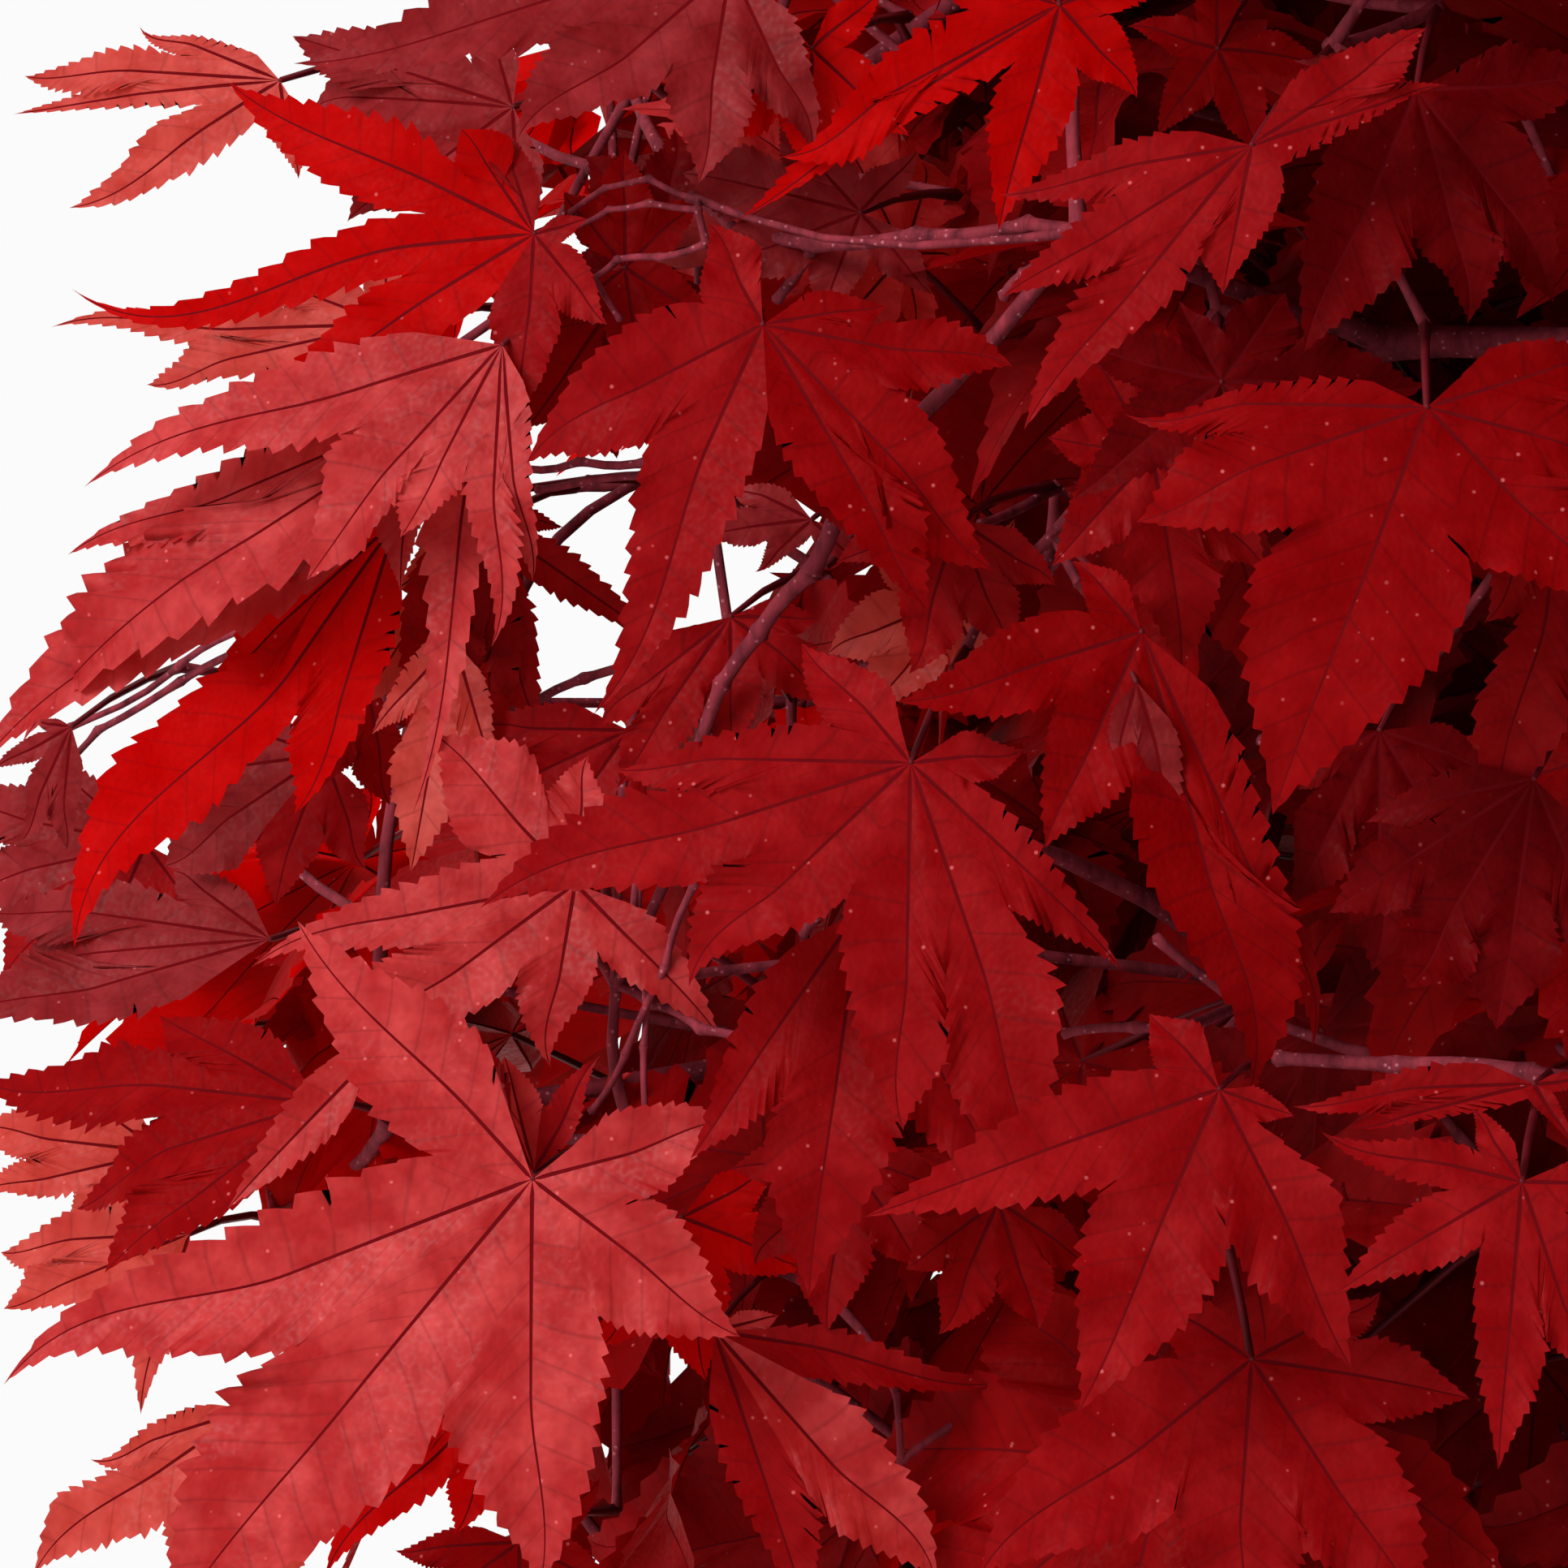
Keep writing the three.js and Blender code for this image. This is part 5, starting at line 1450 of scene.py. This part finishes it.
@dataclass
class Foliage:
    """The leaves of the whole crown, in pieces by tint, and the twigs and stalks that carry them."""

    plan: TreePlan
    view: FrontView
    shape: LeafShape = field(default_factory=LeafShape)
    leaf_mm: float = 34
    stalk_mm: float = 24
    sides: tuple[float, ...] = (1, -1, 0)
    lobe_angles: tuple[float, ...] = (-128, -84, -40, 0, 40, 84, 128)
    lobe_lengths: tuple[float, ...] = (0.36, 0.72, 0.92, 1.0, 0.92, 0.72, 0.36)
    lobe_widths: tuple[float, ...] = (0.2, 0.19, 0.18, 0.18, 0.18, 0.19, 0.2)
    crown_share: float = 1.02
    overlap: float = 14
    near_depth: float = 130
    picture_share: float = 0.52
    stalk_lift: float = 1.5
    twig_shares: tuple[float, ...] = (0, 0.05, 0.14, 0.38, 0.62, 0.86, 0.95, 1)
    twig_bow: float = 0.14
    fork_swell: float = 0.4
    fork_share: float = 0.06
    stalk_radii: tuple[float, ...] = (0.62, 0.4, 0.38, 0.3)

    def __post_init__(self) -> None:
        """Sets up the front sprays, the sky and the growing rule."""
        self.sky = OpenSky(self.view)
        self.front = FrontSprays(self.view)
        self.growth = Growth(self.plan, self.sky)
        self.twigs: list[Twig] = []
        self.stalks: list[tuple[Array, Array, Array]] = []
        self.by_tint: dict[Tint, list[Faces]] = {tint: [] for tint in Tint}

    def _nearest_mass(self, place: Array) -> str:
        """The name of the mass whose space a place is in."""
        gaps = [float(np.linalg.norm(place - mass.centre)) for mass in self.plan.masses]
        return self.plan.masses[int(np.argmin(gaps))].name

    def _hanging(self, sites: Array, seed: int) -> tuple[LeafSet, Array, Array]:
        """Leaves on sites by the source's rule: the stalk leans aside on its way out, and the blade hangs.

        Args:
            sites: the sites that bear leaves.
            seed: which draws.

        Returns:
            The leaves, the roots of their stalks, and the number of each one's site.
        """
        number = np.repeat(np.arange(len(sites)), len(self.sides))
        side = np.tile(np.array(self.sides), len(sites))
        root = sites[number]
        draw = draws(seed, 30 * len(number)).reshape(-1, 30)
        out = self.plan.crown.outwards(root)
        around = unit(np.cross(UP, out))
        aside = around * (side[:, None] * (draw[:, 1:2] + 0.15))
        reach = unit(0.55 * out + UP * (0.9 * draw[:, :1] - 0.35) + aside)
        hang = UP * (0.15 - 0.95 * draw[:, 3:4])
        along = unit(reach * (0.4 + 0.6 * draw[:, 2:3]) + hang + around * 0.7 * (draw[:, 4:5] - 0.5))
        face = 0.7 * out + 0.7 * UP + around * (draw[:, 5:6] - 0.5)
        face = unit(face - along * (face * along).sum(1, keepdims=True))
        size = self.leaf_mm * (0.78 + 0.42 * draw[:, 7:8])
        lobes = len(self.lobe_angles)
        jitter = draw[:, 8 : 8 + lobes] - 0.5
        other = draw[:, 15 : 15 + lobes] - 0.5
        leaves = LeafSet(
            heart=root + reach * self.stalk_mm * (0.55 + 0.6 * draw[:, 6:7]),
            along=along,
            across=np.cross(face, along),
            face=face,
            angles=np.radians(np.array(self.lobe_angles) + 8 * jitter),
            lengths=size * np.array(self.lobe_lengths) * (1 + 0.16 * other),
            widths=np.array(self.lobe_widths) * (1 + 0.25 * jitter),
            fold=0.15 + 0.45 * draw[:, 22],
            droop=0.06 + 0.16 * draw[:, 23],
            curl=0.35 * (draw[:, 24:25] - 0.3) + 0.2 * other,
            bend=0.14 * jitter,
            phase=TAU * draw[:, 25],
        )
        return leaves, root, number

    def _samples(self, leaves: LeafSet) -> Array:
        """Places over each leaf for tests: its heart, and each lobe at thirds of its length."""
        reach = leaves.lengths[:, :, None] * np.array([0.33, 0.66, 1.0])
        p = reach * np.cos(leaves.angles)[:, :, None]
        q = reach * np.sin(leaves.angles)[:, :, None]
        height = -leaves.droop[:, None, None] * reach**2 / leaves.lengths.max(1)[:, None, None]
        spots = leaves.places(p, q, height)
        return np.concatenate([leaves.heart[:, None], spots.reshape(len(leaves.heart), -1, 3)], axis=1)

    def _tints(self, leaves: LeafSet, number: Array, seed: int) -> Array:
        """Deals a tint to each spray as painted light and shade: paler far to the left, where the key light
        falls, and darker inside and on the right, where shade falls.
        """
        where = leaves.heart
        outer = self.plan.crown.share(where)
        draw = draws(seed, int(number.max()) + 1)[number]
        # Painted light and shade: sprays far to the left, where the key light falls, get the paler lit tints,
        # and sprays deep inside the crown get the darker shaded ones.
        left = np.clip((-where[:, 0] + 0.25 * -where[:, 1] - 150) / 110, -1, 1)
        tone = 0.5 * left + 0.6 * (outer - 0.75) + 0.9 * (draw - 0.45)
        order = [Tint.WINE, Tint.DEEP, Tint.CARMINE, Tint.BRIGHT, Tint.MILKY, Tint.PALE]
        steps = [-0.32, 0.02, 0.3, 0.46, 0.78]
        return np.array([list(Tint).index(tint) for tint in order])[np.searchsorted(steps, tone)]

    def _grow_mass(self, mass: Mass, given: list[Array], chains: list[Chain]) -> int:
        """Grows one mass: its twigs, then its leaves where they keep to the crown and clear of the sky."""
        sites = self.growth.grow(mass, given, chains, self.twigs)
        leaves, root, number = self._hanging(sites, mass.seed + 3)
        samples = self._samples(leaves)
        kept = (self.plan.crown.share(samples) < self.crown_share).all(1)
        kept &= (self.plan.depth_in_space(samples, mass) > -self.overlap).all(1)
        kept &= ~self.sky.shows(samples).any(1) & ~self.sky.before_front(samples).any(1)
        leaves, root, number, samples = leaves.taken(kept), root[kept], number[kept], samples[kept]
        tints = self._tints(leaves, number, mass.seed + 5)
        spots = self.view.seen_at(samples)
        shown = self.view.within(spots, self.picture_share).any(1)
        behind = samples[..., 1].min(1) - self.view.front_depth(spots[:, 0, 0])
        near = shown & (behind < self.near_depth)
        for i, tint in enumerate(Tint):
            for detail, group in ((Detail.NEAR, near), (Detail.FAR, ~near)):
                which = group & (tints == i)
                if which.any():
                    self.by_tint[tint].append(self.shape.build(leaves.taken(which), detail.value))
        lift = UP * (self.stalk_lift * draws(mass.seed + 9, len(root))[:, None])
        self.stalks.append((root, (root + leaves.heart) / 2 + lift, leaves.heart))
        return len(root)

    def grow(self) -> None:
        """Grows all masses, with the foremost sprays tied to the tree by the same rule."""
        given: dict[str, list[Array]] = {mass.name: [] for mass in self.plan.masses}
        chains: dict[str, list[Chain]] = {mass.name: [] for mass in self.plan.masses}
        for i, plan in enumerate(FRONT_LEAVES):
            leaf, other = self.front.leaf(plan, 900 + 13 * i)
            root = self.front.stalk_root(plan)
            given[self._nearest_mass(root)].append(root)
            faces = self.shape.build(leaf, Detail.FRONT.value)
            swapped = other[faces.lobes]
            self.by_tint[plan.tint].append(faces.only(~swapped))
            if swapped.any():
                self.by_tint[plan.other_tint].append(faces.only(swapped))
            middle = (root + leaf.heart) / 2 + self.stalk_lift * np.array([0, 1, 1])
            self.stalks.append((root[None], middle, leaf.heart))
        for plan in FRONT_TWIGS:
            chain = self.front.chain(plan)
            chains[self._nearest_mass(chain[0][0])].append(chain)
        for mass in self.plan.masses:
            count = self._grow_mass(mass, given[mass.name], chains[mass.name])
            log.info("mass %s: %d leaves", mass.name, count)

    def _twig_faces(self) -> Faces:
        """The twigs as rods that bow a little between their ends and swell where they meet."""
        starts, ends, thick, fine = (np.array(part) for part in zip(*self.twigs))
        share = np.array(self.twig_shares)
        run = ends - starts
        length = np.linalg.norm(run, axis=1)[:, None]
        draw = draws(4242, 3 * len(starts)).reshape(-1, 3) - 0.5
        bow = draw - unit(run) * (draw * unit(run)).sum(1, keepdims=True)
        lines = starts[:, None] + share[None, :, None] * run[:, None]
        lines = lines + (self.twig_bow * length * bow)[:, None] * np.sin(math.pi * share)[None, :, None]
        radii = thick[:, None] + share * (fine - thick)[:, None]
        near = np.exp(-((share / self.fork_share) ** 2)), np.exp(-(((1 - share) / self.fork_share) ** 2))
        swell = 1 + self.fork_swell * near[0] + self.fork_swell * near[1]
        return tube_faces(lines, radii * swell, 7)

    def _stalk_faces(self) -> Faces:
        """The leaf stalks as thin rods through three places, thicker at the twig."""
        root, middle, heart = (np.concatenate(part)[:, None] for part in zip(*self.stalks))
        lines = arc(root, middle, heart, np.array([0, 0.3, 0.65, 1])[None, :, None])
        return tube_faces(lines, np.broadcast_to(self.stalk_radii, lines.shape[:2]), 4)

    def dress(self, leaf_nodes: list[str]) -> None:
        """Writes the foliage as pieces by tint, the twigs and the stalks, in place of the masses' solids.

        Args:
            leaf_nodes: the solids that the foliage stands for.
        """
        vein = Vein("leaf_vein", "#440509", "#580a0e", 0.0).material()
        for tint, parts in self.by_tint.items():
            looks = [tint.value.material(), vein]
            piece = Faces.joined(parts).as_object(f"foliage_{tint.name.lower()}", looks)
            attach(piece, "root")
            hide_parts(*leaf_nodes)
            log.info("%s: %d triangles", piece.name, len(piece.data.polygons))
        young = Bark("young_twig_bark", "#7c2a34", "#42121a", "#9a5862", 1.6, 0.15, 0.06).material()
        twigs = self._twig_faces().as_object("twigs", [young])
        stalk = Vein("leaf_stalk", "#38070d", "#5c0f17", 0.08).material()
        stalks = self._stalk_faces().as_object("leaf_stalks", [stalk])
        for piece, slot in ((twigs, "bark"), (stalks, "leaf")):
            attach(piece, "root")
            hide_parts(*leaf_nodes)
            log.info("%s: %d triangles", piece.name, len(piece.data.polygons))


# Trunk, pot and soil


@dataclass
class Trunk:
    """The trunk with its root flare, and the boughs, with the relief of maple bark."""

    plan: TreePlan
    radius: float = 25
    taper: float = 0.82
    flare_radius: float = 13
    flare_height: float = 26
    root_ridge: float = 15
    root_height: float = 15
    root_spread: float = 0.36
    roots: tuple[tuple[float, float], ...] = (
        (20, 1), (78, 0.75), (138, 0.9), (196, 1.1), (247, 0.8), (307, 0.95)
    )
    collar: float = 0.3
    collar_share: float = 0.09
    rows: int = 220
    sides: int = 150
    bough_rows: int = 46
    bough_sides: int = 22

    def _relief(self, places: Array, scale: float) -> Array:
        """The bark's relief: long shallow ridges, finer cracks and a fine grain, from stretched noise."""
        ridge = lattice_noise(places / (np.array([8, 8, 34]) * scale), 11)
        crack = lattice_noise(places / (np.array([2.6, 2.6, 9]) * scale), 12)
        grain = lattice_noise(places / (np.array([1.6, 1.6, 2.4]) * scale), 13)
        return scale * (1.3 * ridge + 0.55 * np.minimum(crack, 0.15) + 0.22 * grain)

    def _trunk_faces(self) -> Faces:
        """The trunk: rings about its line with the source's radius at each height and azimuth, and relief."""
        share = np.linspace(0, 1, self.rows) ** 1.35
        z = self.plan.ground_z + share * (self.plan.trunk_top_z - self.plan.ground_z)
        azimuth = np.arange(self.sides) * TAU / self.sides
        above = (z - self.plan.ground_z)[:, None]
        tip = self.plan.trunk_tip_radius
        stem = tip + (self.radius - tip) * (1 - share) ** self.taper
        angles, sizes = np.array(self.roots).T[:, :, None]
        apart = azimuth[None] - np.radians(angles)
        apart = np.arctan2(np.sin(apart), np.cos(apart))
        ridge = (sizes * np.exp(-((apart / self.root_spread) ** 2))).sum(0)
        flare = self.flare_radius * np.exp(-above / self.flare_height)
        radius = stem[:, None] + flare + self.root_ridge * ridge[None] * np.exp(-above / self.root_height)
        middle = self.plan.trunk_at(z)
        ring = level_ring(self.sides)[None]
        bare = middle[:, None] + radius[..., None] * ring
        fade = np.clip(radius / 20, 0.3, 1)
        skin = bare + (self._relief(bare, 1.0) * fade)[..., None] * ring
        ends = [np.tile(place, (1, self.sides, 1)) for place in (middle[0], middle[-1] + UP * 2)]
        return grid_faces(np.concatenate([ends[0], skin, ends[1]]), flipped=True)

    def _bough_faces(self, mass: Mass) -> Faces:
        """A bough: rings across its line, thickest in a collar at the trunk, with relief."""
        middle = mass.line.spaced(self.bough_rows)
        share = np.linspace(0, 1, self.bough_rows)
        run = unit(np.gradient(middle, axis=0))
        first = unit(np.cross(run, UP))
        ring = rings(first, np.cross(first, run), self.bough_sides)
        radius = mass.foot_radius + (mass.tip_radius - mass.foot_radius) * share**0.7
        radius = radius * (1 + self.collar * np.exp(-share / self.collar_share))
        bare = middle[:, None] + radius[:, None, None] * ring
        # Each bough takes its relief from a part of the noise far from the others'.
        relief = self._relief(bare + 100 * mass.centre / 37, 0.5)
        skin = bare + (relief * np.clip(radius / 8, 0.3, 1)[:, None])[..., None] * ring
        ends = [np.tile(place, (1, self.bough_sides, 1)) for place in (middle[0], middle[-1] + run[-1] * 2)]
        return grid_faces(np.concatenate([ends[0], skin, ends[1]]))

    def dress(self) -> None:
        """Builds the trunk and the boughs in place of their solids."""
        bark = Bark("maple_bark", "#a39381", "#6d5f52", "#c4b8a4", 5, 0.6).material()
        trunk = self._trunk_faces().as_object("trunk_bark", [bark])
        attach(trunk, "root")
        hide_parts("trunk")
        carried = [mass for mass in self.plan.masses if mass.line is not None]
        boughs = Faces.joined([self._bough_faces(mass) for mass in carried]).as_object("boughs_bark", [bark])
        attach(boughs, "root")
        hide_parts(*[f"bough_{mass.name}" for mass in carried])
        log.info("trunk: %d triangles, boughs: %d", len(trunk.data.polygons), len(boughs.data.polygons))


def rounded(profile: Sequence[Pixel], radius: float, steps: int = 5) -> Array:
    """A profile with its inner corners rounded.

    Args:
        profile: the corners.
        radius: how far from a corner the rounding starts.
        steps: places on each rounding.

    Returns:
        The rounded profile.
    """
    points = np.array(profile, float)
    made = [points[:1]]
    share = np.linspace(0, 1, steps)[:, None]
    for before, corner, after in zip(points[:-2], points[1:-1], points[2:]):
        ways = before - corner, after - corner
        start, end = (corner + way * min(0.45, radius / np.linalg.norm(way)) for way in ways)
        made.append(arc(start, corner, end, share))
    made.append(points[-1:])
    return np.concatenate(made)


@dataclass
class Pot:
    """A plain oval pot: a leaning wall with a lip, on an inset foot with a drain notch in each side."""

    length: float = 364
    width: float = 276
    height: float = 80
    wall: float = 9
    lip: float = 5
    lip_depth: float = 8
    lean: float = 14
    foot_height: float = 9
    foot_inset: float = 12
    floor: float = 7
    drain_width: float = 74
    drain_height: float = 6
    drain_reach: float = 34
    arris: float = 0.8
    rounding: float = 2.2
    glaze_start: float = 1.5
    under_rings: int = 44
    sides: int = 240

    def turned(self, profile: Array) -> Array:
        """A profile of radius and height turned round Z and squeezed across to the oval."""
        turn = np.arange(self.sides) * TAU / self.sides
        x = profile[:, :1] * np.cos(turn)
        y = profile[:, :1] * np.sin(turn) * self.width / self.length
        return np.stack([x, y, np.broadcast_to(profile[:, 1:], x.shape)], axis=-1)

    def _notched(self, places: Array, foot: float) -> Array:
        """Lifts the underside of a foot of that radius to the drain notches, with a slope at their sides."""
        x, y = np.abs(places[..., 0]), np.abs(places[..., 1])
        reach_y = foot * self.width / self.length
        ends = np.minimum(self.drain_width / 2 - y, x - (foot - self.drain_reach))
        longs = np.minimum(self.drain_width - x, y - (reach_y - self.drain_reach))
        inside = np.clip(np.maximum(ends, longs) / 2 + 0.5, 0, 1)
        lifted = np.maximum(places[..., 2], self.drain_height * inside * inside * (3 - 2 * inside))
        return np.concatenate([places[..., :2], lifted[..., None]], axis=-1)

    def dress(self) -> None:
        """Builds the pot in place of its solid."""
        lip = self.length / 2
        top = lip - self.lip
        wall_foot = top - self.lean
        ring = wall_foot - self.foot_inset
        lip_z = self.height - self.lip_depth
        inner_z = self.foot_height + self.floor
        under = [(radius, 0.0) for radius in np.linspace(0, ring - self.arris, self.under_rings)]
        corners = [
            under[-1],
            (ring, self.arris),
            (ring, self.foot_height),
            (wall_foot, self.foot_height),
            (top, lip_z),
            (lip, lip_z),
            (lip, self.height),
            (top - self.wall, self.height),
            (wall_foot - self.wall, inner_z),
            (0, inner_z),
        ]
        profile = np.concatenate([np.array(under), rounded(corners, self.rounding)[1:]])
        faces = grid_faces(self._notched(self.turned(profile), ring), flipped=True)
        # The foot and what is under it are bare clay.
        heights = faces.corners[faces.triangles][..., 2].mean(1)
        radii = np.hypot(faces.corners[..., 0] / lip, faces.corners[..., 1] / (self.width / 2))
        low = heights < self.foot_height + self.glaze_start
        faces.slots = (low & (radii[faces.triangles].mean(1) < wall_foot / lip + 0.01)).astype(int)
        clay = Grit("bare_stoneware", "#7a5a44", "#5e4434", "#8e7058", 1.2).material()
        pot = faces.as_object("pot_glazed", [Glaze().material(), clay])
        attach(pot, "root")
        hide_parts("pot")
        log.info("pot: %d triangles", len(pot.data.polygons))


@dataclass
class Soil:
    """The soil: it fills the pot to below the lip, and its fired clay grains lie in a low mound."""

    pot: Pot
    clearance: float = 0.5
    below_lip: float = 7
    crest_z: float = 88
    crest_radius: float = 96
    shoulder_rise: float = 3
    rounding: float = 16
    grain_mm: float = 3.4
    small_grain_mm: float = 1.9
    mound_mm: float = 34
    rings: int = 96

    def dress(self) -> None:
        """Builds the soil in place of its solid: the source's profile, turned, with grains raised on top."""
        pot = self.pot
        foot = pot.length / 2 - pot.lip - pot.lean - pot.wall - self.clearance
        floor_z = pot.foot_height + pot.floor + self.clearance
        edge_z = pot.height - self.below_lip
        edge = foot + pot.lean * (edge_z - floor_z) / (pot.height - floor_z)
        shoulder = ((self.crest_radius + edge) / 2, (edge_z + self.crest_z) / 2 + self.shoulder_rise)
        line = [(edge, edge_z), shoulder, (self.crest_radius, self.crest_z), (0, self.crest_z)]
        top = rounded(line, self.rounding, 7)
        along = np.concatenate([[0], np.cumsum(np.linalg.norm(np.diff(top, axis=0), axis=1))])
        even = np.linspace(0, along[-1], self.rings)
        fine = np.stack([np.interp(even, along, top[:, i]) for i in range(2)], axis=1)
        skin = pot.turned(np.concatenate([[(0, floor_z), (foot, floor_z)], fine]))
        level = skin[..., :2]
        bumps = grain_bumps(level / self.grain_mm, 31)
        small = grain_bumps(level / self.small_grain_mm + 7.3, 37)
        slow = lattice_noise(level / self.mound_mm, 5)
        rise = 1.5 * bumps + 0.5 * small + 0.9 * slow - 0.9
        # The floor of the soil stays flat, and its edge doesn't rise above the source's.
        rise[:2] = 0
        rise[2] = np.minimum(rise[2], 0)
        skin[..., 2] += rise
        faces = grid_faces(skin, flipped=True)
        grit = Grit("fired_clay_grains", "#6b4a32", "#4a3324", "#94714f", self.grain_mm).material()
        soil = faces.as_object("soil_grains", [grit])
        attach(soil, "root")
        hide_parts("soil")
        log.info("soil: %d triangles", len(soil.data.polygons))


# Studio


@dataclass
class Studio:
    """A plain pale floor, a white surround, and soft lights from the camera's left and above."""

    floor_radius: float = 2000
    floor_sides: int = 96
    floor_colour: str = "#efefed"
    white: str = "#fbfbfb"
    lit_spot: tuple[float, float, float] = (-0.12, 0, 0.33)

    def _lamp(self, name: str, place: tuple[float, float, float], size: float, watts: float) -> None:
        """A square soft light at a place in metres, turned to the crown."""
        data = bpy.data.lights.new(name, "AREA")
        data.size = size
        data.energy = watts
        lamp = bpy.data.objects.new(name, data)
        lamp.location = place
        lamp.rotation_euler = (Vector(self.lit_spot) - Vector(place)).to_track_quat("-Z", "Y").to_euler()
        bpy.context.scene.collection.objects.link(lamp)

    def build(self) -> None:
        """Builds the floor, the surround and the lights."""
        count = self.floor_sides
        numbers = np.arange(count)
        rim = level_ring(count) * self.floor_radius
        fan = np.stack([np.full(count, count), numbers, (numbers + 1) % count], axis=-1)
        faces = Faces(np.concatenate([rim, np.zeros((1, 3))]), fan, np.zeros(count, int))
        floor = faces.as_object("floor", [Paint("pale_floor", self.floor_colour, 0.8).material()])
        world = bpy.data.worlds.new("surround")
        world.use_nodes = True
        world.node_tree.nodes.clear()
        light = add_node(world.node_tree, "Background", {"Color": linear(self.white), "Strength": 1.0})
        add_node(world.node_tree, "OutputWorld", {"Surface": light})
        bpy.context.scene.world = world
        self._lamp("key", (-1.1, -1.0, 1.1), 0.7, 30)
        self._lamp("fill", (0.6, -1.3, 0.7), 1.2, 2)
        bpy.context.scene.view_settings.view_transform = "Standard"


def main() -> None:
    """Builds the pot, the soil, the tree and the studio, in that order."""
    logging.basicConfig(level=logging.INFO, format="%(message)s")
    plan = TreePlan()
    view = FrontView()
    pot = Pot()
    pot.dress()
    Soil(pot).dress()
    Trunk(plan).dress()
    foliage = Foliage(plan, view)
    foliage.grow()
    foliage.dress([f"leaves_{mass.name}" for mass in plan.masses])
    Studio().build()
    view.camera()


if __name__ == "__main__":
    main()
